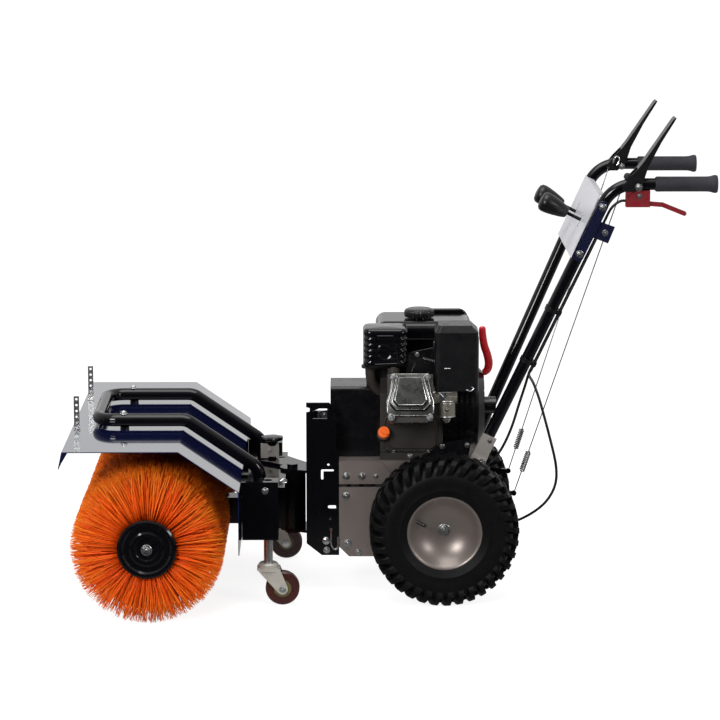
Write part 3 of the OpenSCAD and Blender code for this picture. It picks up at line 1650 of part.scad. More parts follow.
strand_pitch = (brush_half - brush_gap_half) / strand_rows;
strand_points = [
  for (row = [0:strand_rows - 1]) for (i = [0:strands_per_row - 1])
    let (
      a = (i + (row % 2) / 2) * 360 / strands_per_row,
      y = brush_gap_half + (2 * row + 1) * strand_pitch / 2
    )
    each concat(
      strand_end(a, y, sleeve_r - strand_root, strand_w / 2),
      strand_end(a, y, brush_d / 2, strand_taper_share * strand_w / 2)
    )
];
strand_faces = [
  for (s = [0:strand_rows * strands_per_row - 1])
    let (o = 6 * s)
    each [
      [o + 2, o + 1, o], [o + 3, o + 4, o + 5], [o + 1, o + 3, o], [o + 4, o + 3, o + 1],
      [o + 2, o + 4, o + 1], [o + 5, o + 4, o + 2], [o, o + 5, o + 2], [o + 3, o + 5, o]
    ]
];

module bristles() {
  color(orange) place() translate([brush_x, 0, brush_z]) {
    polyhedron(strand_points, strand_faces);
    translate([0, brush_gap_half, 0]) axis_left() linear_extrude(brush_half - brush_gap_half)
      tube_ring(sleeve_r, sleeve_t);
  }
}

module bristles_left() { on_side(1) bristles(); }
module bristles_right() { on_side(-1) bristles(); }
// Pressed end disc with a raised rim, a ring and a hub, as shares of its radius and thickness
disc_shares = [
  [0, 0], [0.94, 0], [1, 0.25], [1, 0.70], [0.94, 1], [0.84, 0.95], [0.78, 0.55], [0.60, 0.50],
  [0.54, 0.75], [0.40, 0.75], [0.34, 0.40], [0.22, 0.40], [0.18, 0.80], [0, 0.80]
];

module end_discs() {
  color(black) place() translate([brush_x, 0, brush_z]) both_sides()
    translate([0, brush_half, 0]) axis_left() rotate_extrude()
      polygon([for (s = disc_shares) [s[0] * end_disc_d / 2, s[1] * end_disc_t]]);
}

// Casters

caster_r = caster_d / 2;
fork_lift = 2.5;
fork_low_z = caster_d + fork_lift;
fork_h = 17;
fork_top_z = fork_low_z + fork_h;
fork_cup_r = 25;
fork_plate_h = 7;
cheek_gap = 3;
fork_t = 3;
fork_eye_r = 12;
caster_axle_r = 5;
stem_top_z = 246;
caster_hub_r = 20;
caster_hub_out = 2;
caster_edge = 3;
caster_axle_x = caster_x - caster_trail;
fork_in = caster_w / 2 + cheek_gap;

module caster_stem() {
  color(zinc) place() translate([caster_x, caster_span / 2, fork_low_z + pass_gap])
    cylinder(h = stem_top_z - fork_low_z - pass_gap, r = stem_r);
}

module fork_cheek() {
  top = fork_low_z + fork_plate_h;
  hull() {
    translate([caster_axle_x, caster_r]) circle(fork_eye_r, $fn = 32);
    translate([caster_x - fork_cup_r, top - fork_t]) square([2 * fork_cup_r, fork_t]);
  }
}

module caster_fork() {
  color(zinc) place() translate([0, caster_span / 2, 0]) difference() {
    union() {
      translate([caster_x, 0, fork_low_z]) rotate_extrude() polygon([
        [0, 0], [fork_cup_r, 0], [fork_cup_r, fork_plate_h], [fork_cup_r - fork_t, fork_plate_h],
        [fork_cup_r - fork_t, fork_top_z - fork_low_z - fork_t],
        [fork_cup_r - 2 * fork_t, fork_top_z - fork_low_z], [0, fork_top_z - fork_low_z]
      ]);
      for (side = [1, -1]) mirror([0, side < 0 ? 1 : 0, 0]) side_slab(fork_in, fork_in + fork_t) fork_cheek();
      translate([caster_axle_x, -fork_in - 2 * fork_t, caster_r]) axis_left()
        cylinder(h = 2 * fork_in + 4 * fork_t, r = caster_axle_r);
    }
    translate([caster_x, 0, fork_low_z - overrun])
      cylinder(h = fork_top_z - fork_low_z + 2 * overrun, r = stem_r + running);
  }
}

module caster_wheel() {
  color([0.35, 0.06, 0.08]) place() translate([caster_axle_x, caster_span / 2, caster_r]) axis_left()
    rotate_extrude() difference() {
      polygon([
        [0, -caster_w / 2 - caster_hub_out], [caster_hub_r / 2, -caster_w / 2 - caster_hub_out],
        [caster_hub_r / 2, -caster_w / 3], [caster_hub_r, -caster_w / 3], [caster_hub_r, -caster_w / 2],
        [caster_r - caster_edge, -caster_w / 2], [caster_r, -caster_w / 3], [caster_r, caster_w / 3],
        [caster_r - caster_edge, caster_w / 2], [caster_hub_r, caster_w / 2], [caster_hub_r, caster_w / 3],
        [caster_hub_r / 2, caster_w / 3], [caster_hub_r / 2, caster_w / 2 + caster_hub_out],
        [0, caster_w / 2 + caster_hub_out]
      ]);
      translate([-overrun, -caster_w]) square([overrun + caster_axle_r + running, 2 * caster_w]);
    }
}

module caster_stem_left() { on_side(1) caster_stem(); }
module caster_stem_right() { on_side(-1) caster_stem(); }
module caster_fork_left() { on_side(1) caster_fork(); }
module caster_fork_right() { on_side(-1) caster_fork(); }
module caster_wheel_left() { on_side(1) caster_wheel(); }
module caster_wheel_right() { on_side(-1) caster_wheel(); }
tyre_left();
tyre_right();
rim_left();
rim_right();
chassis_frame();
gear_case();
engine_bed();
front_frame();
handle_brackets();
belt_cover();
drive_belts();
crank_pulley();
input_pulley();
engine_block();
rocker_cover();
recoil_housing();
recoil_grip();
fuel_tank();
fuel_cap();
muffler();
muffler_guard();
carburettor();
air_filter();
dipstick();
handle_tubes();
grips();
control_panel();
panel_plates();
shift_rod_left();
shift_rod_right();
shift_knob_left();
shift_knob_right();
clutch_lever_left();
clutch_lever_right();
clutch_wire_left();
clutch_wire_right();
tension_arm_left();
tension_arm_right();
red_lever_box();
red_lever();
sheathed_cables();
cable_clips();
head_beam();
loop_bar();
hood();
hood_straps();
hood_spacers();
brush_gearbox();
clamp_knob();
brush_axle();
bristles_left();
bristles_right();
end_discs();
caster_stem_left();
caster_stem_right();
caster_fork_left();
caster_fork_right();
caster_wheel_left();
caster_wheel_right();
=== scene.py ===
# %% [markdown]
# # A walk-behind power brush sweeper
# The machine is a two-wheeled engine carriage that pushes a turning brush of orange bristles under a bent
# steel hood. The solid model comes in as a fixed frame of named parts that ride on moving bodies. This
# lesson gives every part its finish, and grows the pieces that solids are poor at: bristles, springs,
# cables, ribs and fasteners. Each new piece is a surface worked out with numpy as whole arrays of points.

# %% Load the solids
import math

import bmesh
import bpy
import numpy as np
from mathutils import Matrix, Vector
from mathutils.geometry import tessellate_polygon


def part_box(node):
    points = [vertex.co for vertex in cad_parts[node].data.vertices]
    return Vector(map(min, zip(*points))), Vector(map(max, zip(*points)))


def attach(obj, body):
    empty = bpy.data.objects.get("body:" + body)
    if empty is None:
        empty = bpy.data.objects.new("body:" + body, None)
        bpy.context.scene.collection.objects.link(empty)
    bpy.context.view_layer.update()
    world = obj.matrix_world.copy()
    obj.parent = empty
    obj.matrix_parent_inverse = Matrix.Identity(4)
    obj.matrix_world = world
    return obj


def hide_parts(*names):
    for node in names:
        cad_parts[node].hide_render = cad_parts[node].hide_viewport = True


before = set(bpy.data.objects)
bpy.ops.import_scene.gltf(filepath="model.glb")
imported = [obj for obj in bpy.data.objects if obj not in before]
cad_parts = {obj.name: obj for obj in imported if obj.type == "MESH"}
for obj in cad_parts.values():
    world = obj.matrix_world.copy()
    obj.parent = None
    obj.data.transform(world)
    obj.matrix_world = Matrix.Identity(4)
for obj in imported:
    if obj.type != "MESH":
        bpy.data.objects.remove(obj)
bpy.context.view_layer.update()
MM = 0.001
SIDES = (("left", 1), ("right", -1))
left, ahead, above = (0, 1, 0), (1, 0, 0), (0, 0, 1)
half_track, axle_z = 187.5, 165  # of the drive wheels, in millimetres


def corners_of(node):
    """Lowest and highest corner of a node's box, in metres."""
    return tuple(np.array(corner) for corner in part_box(node))


tyre_low, tyre_high = corners_of("tyre_left")
axle = np.array([(tyre_low[0] + tyre_high[0]) / 2, 0.0, 0.0])


def placed(points):
    """Metres from millimetre points: x ahead of the wheel axle, y left of the middle, z above the floor."""
    return axle + np.asarray(points, dtype=float) * MM


def spot(x, y, z):
    """One place in metres from its millimetres."""
    return placed((x, y, z))


# %% [markdown]
# ## The camera
# A studio photographer stands well back with a long lens, so that parallel edges stay nearly parallel. The
# camera stands on the left of the machine, a little above it. Its place and lens came from matching the
# tyre, the hood and the grips in the picture. A long lens far away is chosen over a short one close up
# because a short lens would swell the near wheel.

# %% Place the camera
camera_at, camera_turn, camera_lens = (214.9, 6489.3, 1693.7), (79.658, 0.056, 179.721), 146.36
camera_data = bpy.data.cameras.new("studio_camera")
camera_data.sensor_fit = "HORIZONTAL"
camera_data.sensor_width = 36.0
camera_data.lens = camera_lens
camera_data.clip_end = 100.0
camera = bpy.data.objects.new("studio_camera", camera_data)
camera.location = spot(*camera_at)
camera.rotation_euler = [math.radians(a) for a in camera_turn]
bpy.context.scene.collection.objects.link(camera)
bpy.context.scene.camera = camera
print("camera at", [round(v, 3) for v in camera.location], "lens", camera_data.lens)

# %% [markdown]
# ## Floor and light
# The picture shows a white studio: bright above, behind and below, and dark on the side where the camera
# stands. Gloss paint copies that room, so the room matters more than the lamps. The world is white overhead
# and dim towards the camera. The floor is a plain matt plane. To the camera it is nearly white by itself,
# and it still takes the shadow of the machine. In mirrors it fades into the dark in front of the machine,
# which keeps black paint black. More lamp light could bleach the floor too, but would also bleach the
# machine.

# %% Build the studio
bpy.context.scene.view_settings.view_transform = "Standard"


def new_tree(owner):
    """Empty node tree of a material or world."""
    owner.use_nodes = True
    owner.node_tree.nodes.clear()
    return owner.node_tree


def add(tree, kind, *by_place, settings=(), **by_name):
    """New shader node. An input, by place or by name with _ for a space, takes a value or an output."""
    node = tree.nodes.new("ShaderNode" + kind)
    for name, value in dict(settings).items():
        setattr(node, name, value)
    inputs = list(enumerate(by_place)) + [(name.replace("_", " "), value) for name, value in by_name.items()]
    for key, value in inputs:
        if isinstance(value, bpy.types.NodeSocket):
            tree.links.new(value, node.inputs[key])
        else:
            node.inputs[key].default_value = value
    return node


def combined(tree, operation, first, second):
    """Output of a math node."""
    return add(tree, "Math", first, second, settings={"operation": operation}).outputs[0]


def map_range(tree, value, source, target):
    """Output of a node that carries value from the range source over to the range target."""
    return add(tree, "MapRange", value, *source, *target).outputs["Result"]


def studio_room(world):
    """Light by direction: strength rises with height (z) and falls towards the camera's side (y)."""
    tree = new_tree(world)
    way = add(tree, "SeparateXYZ", add(tree, "TexCoord").outputs["Generated"]).outputs
    towards = map_range(tree, way["Y"], (-0.15, 0.75), (0.95, 0.05))
    upward = map_range(tree, way["Z"], (0.35, 0.8), (0.0, 0.8))
    back = add(tree, "Background", Strength=combined(tree, "MAXIMUM", towards, upward))
    add(tree, "OutputWorld", Surface=back.outputs[0])


def studio_floor():
    """Matt floor. The camera sees it lifted close to white with the shadow left in, and mirrors see that
    white fade to dark between 0.1 and 0.9 m in front of the machine."""
    material = bpy.data.materials.new("studio_floor")
    tree = new_tree(material)
    place = add(tree, "SeparateXYZ", add(tree, "TexCoord").outputs["Object"]).outputs
    ray = add(tree, "LightPath").outputs
    seen = ray["Is Camera Ray"]
    fade = map_range(tree, place["Y"], (0.1, 0.9), (0.4, 0.01))
    strength = combined(tree, "MAXIMUM", combined(tree, "MULTIPLY", seen, 0.87), fade)
    faint = add(tree, "BsdfDiffuse", Color=combined(tree, "MULTIPLY", seen, 0.3))
    lifted = add(tree, "AddShader", faint.outputs[0], add(tree, "Emission", Strength=strength).outputs[0])
    matt = add(tree, "BsdfDiffuse", Color=(0.8, 0.8, 0.8, 1.0))
    either = combined(tree, "MAXIMUM", seen, ray["Is Glossy Ray"])
    mix = add(tree, "MixShader", either, matt.outputs[0], lifted.outputs[0])
    add(tree, "OutputMaterial", Surface=mix.outputs[0])
    return material


world = bpy.data.worlds.new("studio_room")
bpy.context.scene.world = world
studio_room(world)
floor_mesh = bpy.data.meshes.new("studio_floor")
floor_reach = 60.0
floor_corners = [(x * floor_reach, y * floor_reach, 0) for x, y in ((-1, -1), (1, -1), (1, 1), (-1, 1))]
floor_mesh.from_pydata(floor_corners, [], [(0, 1, 2, 3)])
floor_mesh.materials.append(studio_floor())
floor = bpy.data.objects.new("studio_floor", floor_mesh)
bpy.context.scene.collection.objects.link(floor)


def soft_box(name, place, target, size, power):
    """Square area lamp at place, turned so that its light falls on target."""
    data = bpy.data.lights.new(name, "AREA")
    data.shape = "SQUARE"
    data.size = size
    data.energy = power
    lamp = bpy.data.objects.new(name, data)
    lamp.location = place
    lamp.rotation_euler = (Vector(target) - Vector(place)).to_track_quat("-Z", "Y").to_euler()
    bpy.context.scene.collection.objects.link(lamp)


lamps = (("overhead_box", (0.2, 0.6, 3.2), (0.0, 0.0, 0.3), 2.2, 60.0),
         ("front_box", (1.9, 3.6, 2.0), (0.3, 0.0, 0.2), 1.2, 95.0),
         ("rear_box", (-2.6, 2.6, 1.7), (-0.1, 0.0, 0.4), 0.9, 30.0))
for lamp in lamps:
    soft_box(*lamp)
print("studio: floor, room and", len(bpy.data.lights), "lamps")

# %% [markdown]
# ## Finishes
# Nearly everything here is painted or moulded black, and what tells one black from another is gloss: wet
# paint on tubes, satin on pressed covers, dull on rubber. So each finish is one surface shader whose
# roughness is moved by noise in the piece's own coordinates. Cast metal also gets a fine bump and a slow
# drift of colour. Painted images could do this too, but noise needs no unwrapping and stays sharp close up.

# %% Define the finishes
def tone(red, green, blue):
    """Linear colour from screen values 0 to 255: ((c + 0.055) / 1.055) ** 2.4, or c / 12.92 if c is small."""
    c = np.array([red, green, blue]) / 255.0
    lin = np.where(c <= 0.04045, c / 12.92, ((c + 0.055) / 1.055) ** 2.4)
    return (*[float(v) for v in lin], 1.0)


def mottled(tree, place, scale, detail, low, high):
    """Noise at scale per metre, spread from low to high."""
    noise = add(tree, "TexNoise", Vector=place, Scale=scale, Detail=detail)
    return map_range(tree, noise.outputs["Fac"], (0.3, 0.7), (low, high))


def blended(tree, first, second, factor):
    """Output of a colour mix from first to second by factor."""
    mix = add(tree, "Mix", settings={"data_type": "RGBA"}, A=first, B=second, Factor=factor)
    return mix.outputs["Result"]


def surface(name, colour, rough, metal=0.0, coat=0.0, drift=None, spread=0.06, grain=60.0, bump=0.0,
            bump_grain=900.0, specular=0.5):
    """Shader with roughness rough +- spread by noise, colour drifting to drift, and bump metres of relief."""
    material = bpy.data.materials.new(name)
    tree = new_tree(material)
    place = add(tree, "TexCoord").outputs["Object"]
    grainy = mottled(tree, place, grain, 3.0, max(rough - spread, 0.02), rough + spread)
    shader = add(tree, "BsdfPrincipled", Base_Color=tone(*colour), Metallic=metal, Roughness=grainy,
                 Specular_IOR_Level=specular, Coat_Weight=coat, Coat_Roughness=0.04)
    if drift is not None:
        patches = mottled(tree, place, grain / 4, 4.0, 0.0, 1.0)
        tree.links.new(blended(tree, tone(*colour), tone(*drift), patches), shader.inputs["Base Color"])
    if bump:
        height = mottled(tree, place, bump_grain, 5.0, 0.0, 1.0)
        relief = add(tree, "Bump", Strength=0.6, Distance=bump, Height=height)
        tree.links.new(relief.outputs["Normal"], shader.inputs["Normal"])
    add(tree, "OutputMaterial", Surface=shader.outputs[0])
    return material


black_paint = surface("black_gloss_paint", (8, 8, 11), 0.1, spread=0.03, specular=0.34)
satin_black = surface("satin_black_paint", (10, 10, 13), 0.25, spread=0.05, bump=0.00002, bump_grain=1500,
                      specular=0.45)
navy_plate = surface("navy_plate_paint", (14, 18, 44), 0.26, coat=0.3, spread=0.04)
taupe_paint = surface("taupe_metallic_paint", (124, 115, 111), 0.42, metal=0.5, drift=(116, 107, 103),
                      bump=0.00002, bump_grain=2500)
rim_paint = surface("rim_enamel", (124, 115, 110), 0.36, metal=0.7, spread=0.01, grain=8)
bracket_paint = surface("silver_bracket_paint", (176, 170, 164), 0.38, metal=0.5, spread=0.04)
gear_paint = surface("gear_case_paint", (40, 39, 40), 0.5, metal=0.2, drift=(30, 30, 31), bump=0.0002,
                     bump_grain=350, specular=0.3)
engine_grey = surface("cast_engine_grey", (64, 59, 55), 0.5, metal=0.4, drift=(48, 45, 42),
                      bump=0.0002, bump_grain=420)
cover_cast = surface("dark_cast_aluminium", (112, 113, 110), 0.3, metal=1.0, drift=(92, 93, 90),
                     bump=0.00012, bump_grain=700)
# painted highlight: bright metal for the light that the rocker cover's bevels catch
edge_highlight_metal = surface("cast_edge_painted_highlight", (206, 207, 203), 0.26, metal=1.0, spread=0.08)
shell_black = surface("moulded_black_shell", (15, 15, 17), 0.32, bump=0.00004, bump_grain=1800, specular=0.35)
heat_black = surface("heat_proof_black", (24, 23, 23), 0.65, drift=(36, 33, 32), bump=0.00012,
                     bump_grain=800, specular=0.3)
carb_metal = surface("cast_carburettor_metal", (176, 172, 160), 0.36, metal=0.85, drift=(140, 134, 120),
                     bump=0.0001, bump_grain=700)
zinc_plate = surface("bright_zinc", (208, 208, 205), 0.28, metal=1.0, drift=(192, 195, 198), grain=140)
spring_steel = surface("dark_spring_steel", (112, 112, 114), 0.35, metal=1.0, spread=0.1, grain=300)
steel_wire = surface("drawn_steel_wire", (160, 160, 160), 0.35, metal=1.0, spread=0.1, grain=300)
panel_silver = surface("silver_panel_paint", (200, 200, 206), 0.32, metal=0.2, spread=0.04)
dull_zinc = surface("dull_zinc", (192, 189, 180), 0.45, metal=0.4, drift=(178, 175, 166), grain=140)
tyre_rubber = surface("tyre_rubber", (5, 5, 6), 0.5, drift=(8, 8, 9), bump=0.0001,
                      bump_grain=260, specular=0.14)
grip_rubber = surface("grip_rubber", (33, 33, 38), 0.66, drift=(40, 40, 45), bump=0.00012, bump_grain=700,
                      specular=0.3)
belt_rubber = surface("belt_rubber", (22, 22, 22), 0.8, bump=0.0001)
cable_black = surface("cable_sheath", (16, 16, 17), 0.4, spread=0.08)
red_paint = surface("red_moulding", (190, 16, 28), 0.32, drift=(174, 12, 24))
dark_red = surface("dark_red_moulding", (122, 12, 26), 0.38, drift=(108, 9, 20))
orange_plastic = surface("orange_moulding", (240, 104, 16), 0.36, drift=(230, 94, 12))
roller_maroon = surface("maroon_roller", (66, 20, 15), 0.3, drift=(52, 15, 12), spread=0.08)
roller_olive = surface("olive_hub", (104, 92, 54), 0.4, drift=(84, 74, 42))
turned_metal = surface("turned_pulley_metal", (190, 190, 192), 0.3, metal=1.0)
hood_lacquer = surface("navy_hood_lacquer", (14, 19, 54), 0.06, coat=1.0, spread=0.02, grain=12, specular=0.8)

wears = {
    tyre_rubber: "tyre_*", rim_paint: "rim_*", taupe_paint: "chassis_frame engine_bed",
    bracket_paint: "handle_brackets", gear_paint: "gear_case",
    black_paint: "front_frame handle_tubes head_beam loop_bar brush_gearbox end_discs clamp_knob fuel_tank"
                 " hood_spacers clutch_lever_* shift_knob_* tension_arm_*",
    satin_black: "belt_cover fuel_cap recoil_housing", engine_grey: "engine_block",
    cover_cast: "rocker_cover", shell_black: "air_filter muffler_guard cable_clips", heat_black: "muffler",
    carb_metal: "carburettor", red_paint: "recoil_grip", dark_red: "red_lever red_lever_box",
    orange_plastic: "dipstick", grip_rubber: "grips", belt_rubber: "drive_belts",
    turned_metal: "crank_pulley input_pulley", panel_silver: "control_panel", navy_plate: "panel_plates",
    hood_lacquer: "hood", zinc_plate: "shift_rod_* hood_straps brush_axle caster_stem_* clutch_wire_*",
    dull_zinc: "caster_fork_*", cable_black: "sheathed_cables", roller_maroon: "caster_wheel_* bristles_*",
}
dressed_nodes = set()
for material, names in wears.items():
    for name in names.split():
        for node in dict.fromkeys(name.replace("*", side_name) for side_name, _ in SIDES):
            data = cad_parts[node].data
            data.materials.clear()
            data.materials.append(material)
            dressed_nodes.add(node)
bare = sorted(set(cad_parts) - dressed_nodes)
print("finishes:", len(wears), "on", len(dressed_nodes), "nodes; without one:", bare)

# %% [markdown]
# ## Surfaces from arrays
# A surface on a grid is a table of points with rows and columns. Neighbouring rows and columns make the
# quads. A turned part is a profile carried round an axis, and a pipe is a circle carried along a path.
# Blender has Spin and curves for this, but the arrays keep every point under our own formula, and repeating
# a fastener fifty times is one broadcast.

# %% Define the surface helpers
def grid_quads(rows, columns, close_rows=False):
    """Quads of a grid numbered row by row: (i, j), (i, j + 1), (i + 1, j + 1), (i + 1, j). Columns wrap."""
    i, j = np.meshgrid(np.arange(rows if close_rows else rows - 1), np.arange(columns), indexing="ij")
    up, beside = (i + 1) % rows, (j + 1) % columns
    return np.stack([i * columns + j, i * columns + beside, up * columns + beside, up * columns + j],
                    axis=-1).reshape(-1, 4)


def unit(v):
    """Vectors scaled to length one along the last axis."""
    v = np.asarray(v, dtype=float)
    return v / np.linalg.norm(v, axis=-1, keepdims=True)


def axes_about(way):
    """Two side directions at right angles to each way, by crossing with the least aligned world axis."""
    way = unit(way)
    helper = np.where(np.abs(way[..., 2:3]) < 0.9, [0.0, 0.0, 1.0], [1.0, 0.0, 0.0])
    side = unit(np.cross(helper, way))
    return side, np.cross(way, side)


def turned(profile, centre, way, sides):
    """Profile (radius, along) carried round an axis:
    centre + along * way + radius * (cos a * side + sin a * up)."""
    profile = np.asarray(profile, dtype=float)
    side, up = axes_about(way)
    a = np.linspace(0.0, 2 * np.pi, sides, endpoint=False)
    ring = np.cos(a)[:, None] * side + np.sin(a)[:, None] * up
    points = np.asarray(centre) + profile[:, None, 1:2] * unit(way) + profile[:, None, 0:1] * ring[None]
    return points.reshape(-1, 3), grid_quads(len(profile), sides)


def spun(profile, centre, way, sides):
    """Turned part with its profile in millimetres."""
    return turned(np.asarray(profile, dtype=float) * MM, centre, way, sides)


def ring_of(profile, centre, way, sides=40):
    """Closed profile in millimetres carried round the axis: a ring without ends."""
    return spun(profile, centre, way, sides)[0], grid_quads(len(profile), sides, close_rows=True)


def fluted(rows, wave, sides, base):
    """Rows (radius, height, depth) in millimetres: radius * (1 + depth * wave(a)), round the vertical."""
    rows = np.array(rows, dtype=float)
    a = np.linspace(0.0, 2 * np.pi, sides, endpoint=False)
    r = rows[:, 0:1] * (1 + rows[:, 2:3] * wave(a))
    points = np.stack([r * np.cos(a), r * np.sin(a), np.broadcast_to(rows[:, 1:2], r.shape)], axis=-1)
    return points.reshape(-1, 3) * MM + base, grid_quads(len(rows), sides)


def carried(path, way, radius, sides, helper, flat=1.0):
    """Circle at each path point, square to way: point + radius * (cos a * side + flat * sin a * up)."""
    side = unit(np.cross(way, np.asarray(helper, dtype=float)))
    up = np.cross(side, way)
    a = np.linspace(0.0, 2 * np.pi, sides, endpoint=False)[None, :, None]
    reach = np.broadcast_to(radius, len(path))[:, None, None]
    return path[:, None] + reach * (np.cos(a) * side[:, None] + flat * np.sin(a) * up[:, None])


def piped(path, radius, sides, helper=left):
    """Pipe along path, closed at both ends by a point."""
    path = np.asarray(path, dtype=float)
    rows = carried(path, unit(np.gradient(path, axis=0)), radius, sides, helper)
    first, last = (np.broadcast_to(path[k], (1, sides, 3)) for k in (0, -1))
    return np.concatenate([first, rows, last]).reshape(-1, 3), grid_quads(len(path) + 2, sides)


def looped(path, radius, sides, helper=left, flat=1.0):
    """Closed pipe, its last row joined to its first."""
    way = unit(np.roll(path, -1, axis=0) - np.roll(path, 1, axis=0))
    rows = carried(path, way, radius, sides, helper, flat)
    return rows.reshape(-1, 3), grid_quads(len(path), sides, close_rows=True)


def rod(points, radius, sides=12, helper=left):
    """Pipe along millimetre points, with its radius in millimetres."""
    return piped(placed(points), np.asarray(radius) * MM, sides, helper)


def stood(flat, height, lying=False):
    """Flat millimetre points at a height: x, height, z for an upright plate, x, y, height for a lying one."""
    flat = np.asarray(flat, dtype=float)
    level = np.full(len(flat), float(height))
    rows = [flat[:, 0], flat[:, 1], level] if lying else [flat[:, 0], level, flat[:, 1]]
    return placed(np.stack(rows, axis=1))


def arc(centre, radius, start, stop, steps):
    """Points centre + radius * (cos a, sin a) with a from start to stop in degrees."""
    a = np.radians(np.linspace(start, stop, steps))
    return [(centre[0] + radius * math.cos(t), centre[1] + radius * math.sin(t)) for t in a]


def joined(*shapes):
    """Several (points, quads) as one: each table of quads is raised by the number of points before it."""
    counts = np.cumsum([0] + [len(p) for p, _ in shapes[:-1]])
    quads = [q + n for (_, q), n in zip(shapes, counts)]
    return np.concatenate([p for p, _ in shapes]), np.concatenate(quads)


def dressed(name, mesh, body, material, stands_for=(), sharp=None):
    """Smooth object of a mesh in its finish, with creases kept past sharp degrees, riding on its body."""
    mesh.polygons.foreach_set("use_smooth", np.ones(len(mesh.polygons), dtype=bool))
    if sharp is not None:
        mesh.set_sharp_from_angle(angle=math.radians(sharp))
    mesh.materials.append(material)
    obj = bpy.data.objects.new(name, mesh)
    bpy.context.scene.collection.objects.link(obj)
    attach(obj, body)
    if stands_for:
        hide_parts(*stands_for)
    print(f"{name}: {len(mesh.vertices)} points, {len(mesh.polygons)} faces on {body}")


def piece(name, shape, body, material, stands_for=(), sharp=35.0):
    """Object from (points, quads): doubles merged so that poles close, and normals turned outward."""
    points, quads = shape
    mesh = bpy.data.meshes.new(name)
    mesh.from_pydata(points.tolist(), [], quads.tolist())
    work = bmesh.new()
    work.from_mesh(mesh)
    bmesh.ops.remove_doubles(work, verts=work.verts, dist=1e-6)
    bmesh.ops.dissolve_degenerate(work, edges=work.edges, dist=1e-7)
    bmesh.ops.recalc_face_normals(work, faces=work.faces)
    work.to_mesh(mesh)
    work.free()
    dressed(name, mesh, body, material, stands_for, sharp)


# %% [markdown]
# ## The bristles
# The brush is built from wafers of plastic bristle that stand straight out from a sleeve. From the end it is
# a sunburst, from the side a field of tips. Hair particles would be quick, but they vanish in an export, so
# each bristle is a thin three-sided spike with its own lean and curve. A number between 0 and 1 is kept for
# each bristle, and another runs from root to tip, so that the finish can vary its orange between bristles,
# and darken it towards the root as painted shade.

# %% Grow the bristles
brush_low, brush_high = corners_of("bristles_left")
brush_centre = (brush_low + brush_high) / 2
brush_tip_r = (brush_high[0] - brush_low[0]) / 2
sleeve_r, bristle_r = 58 * MM, 1.0 * MM
strands, rows_each, sides_each = 9800, 4, 3
points_each = rows_each * sides_each


def bristle_finish():
    """Orange by bristle (attribute strand), and darker towards the root (attribute height), which is painted
    shade.
    """
    material = surface("orange_bristle", (246, 100, 10), 0.45, spread=0.08, grain=200, specular=0.2)
    tree = material.node_tree
    shader = next(n for n in tree.nodes if n.type == "BSDF_PRINCIPLED")
    strand, height = (add(tree, "Attribute", settings={"attribute_name": label}).outputs["Fac"]
                      for label in ("strand", "height"))
    ramp = add(tree, "ValToRGB", strand)
    for stop, colour in zip(ramp.color_ramp.elements, ((238, 76, 3), (255, 146, 32))):
        stop.color = tone(*colour)
    # painted shade: the orange darkens towards the root, where the strands shade each other
    root_shaded = blended(tree, tone(236, 78, 4), ramp.outputs["Color"], height)
    tree.links.new(root_shaded, shader.inputs["Base Color"])
    return material


def bristles(count, y_low, y_high, seed):
    """Each bristle: root on the sleeve at (angle, y), then r from sleeve to tip in three steps; its angle and
    y drift by a random lean * u + bend * u * u, with u from 0 at the root to 1 at the tip."""
    rng = np.random.default_rng(seed)
    angle = rng.uniform(0.0, 2 * np.pi, count)
    y = rng.uniform(y_low, y_high, count)
    edge = np.minimum(y - y_low, y_high - y)
    tip = brush_tip_r - np.abs(rng.normal(0.0, 2.2 * MM, count))
    lean, bend = rng.normal(0.0, 0.03, count), rng.normal(0.0, 0.05, count)
    sway = np.clip(rng.normal(0.0, 5 * MM, count), -10 * MM, 10 * MM)
    sway = np.where(edge < 10 * MM, np.sign((y_low + y_high) / 2 - y) * np.abs(sway) * 0.6, sway)
    u = np.linspace(0.0, 1.0, rows_each)
    a = angle[:, None] + lean[:, None] * u + bend[:, None] * u ** 2
    r = sleeve_r + (tip - sleeve_r)[:, None] * u
    spine = np.stack([brush_centre[0] + r * np.sin(a), y[:, None] + sway[:, None] * u ** 2,
                      brush_centre[2] + r * np.cos(a)], axis=-1)
    tangent = np.stack([np.cos(a), np.zeros_like(a), -np.sin(a)], axis=-1)
    along = np.broadcast_to([0.0, 1.0, 0.0], tangent.shape)
    thick = bristle_r * np.array([1.0, 1.0, 0.9, 0.6])
    turn = rng.uniform(0, 2 * np.pi, count)[:, None] + np.arange(sides_each) * 2 * np.pi / sides_each
    ring = (np.cos(turn)[:, None, :, None] * tangent[:, :, None]
            + np.sin(turn)[:, None, :, None] * along[:, :, None])
    points = (spine[:, :, None] + thick[None, :, None, None] * ring).reshape(-1, 3)
    first = np.arange(count)[:, None, None] * points_each
    quads = (first + grid_quads(rows_each, sides_each)).reshape(-1, 4)
    ends = (first + np.array([[0, 2, 1], [9, 10, 11]])).reshape(-1, 3)
    strand = np.repeat(rng.uniform(0.0, 1.0, count), points_each)
    height = np.tile(np.repeat(u, sides_each), count)
    return points, quads, ends, strand, height


orange_bristle = bristle_finish()
for side_name, seed in (("left", 11), ("right", 12)):
    low, high = corners_of("bristles_" + side_name)
    points, quads, ends, strand, height = bristles(strands, low[1] + 2 * MM, high[1] - 2 * MM, seed)
    mesh = bpy.data.meshes.new("brush_bristles_" + side_name)
    mesh.from_pydata(points.tolist(), [], quads.tolist() + ends.tolist())
    for label, values in (("strand", strand), ("height", height)):
        mesh.attributes.new(label, "FLOAT", "POINT").data.foreach_set("value", values.astype(np.float32))
    dressed("brush_bristles_" + side_name, mesh, "brush", orange_bristle,
            ["bristles_" + side_name])

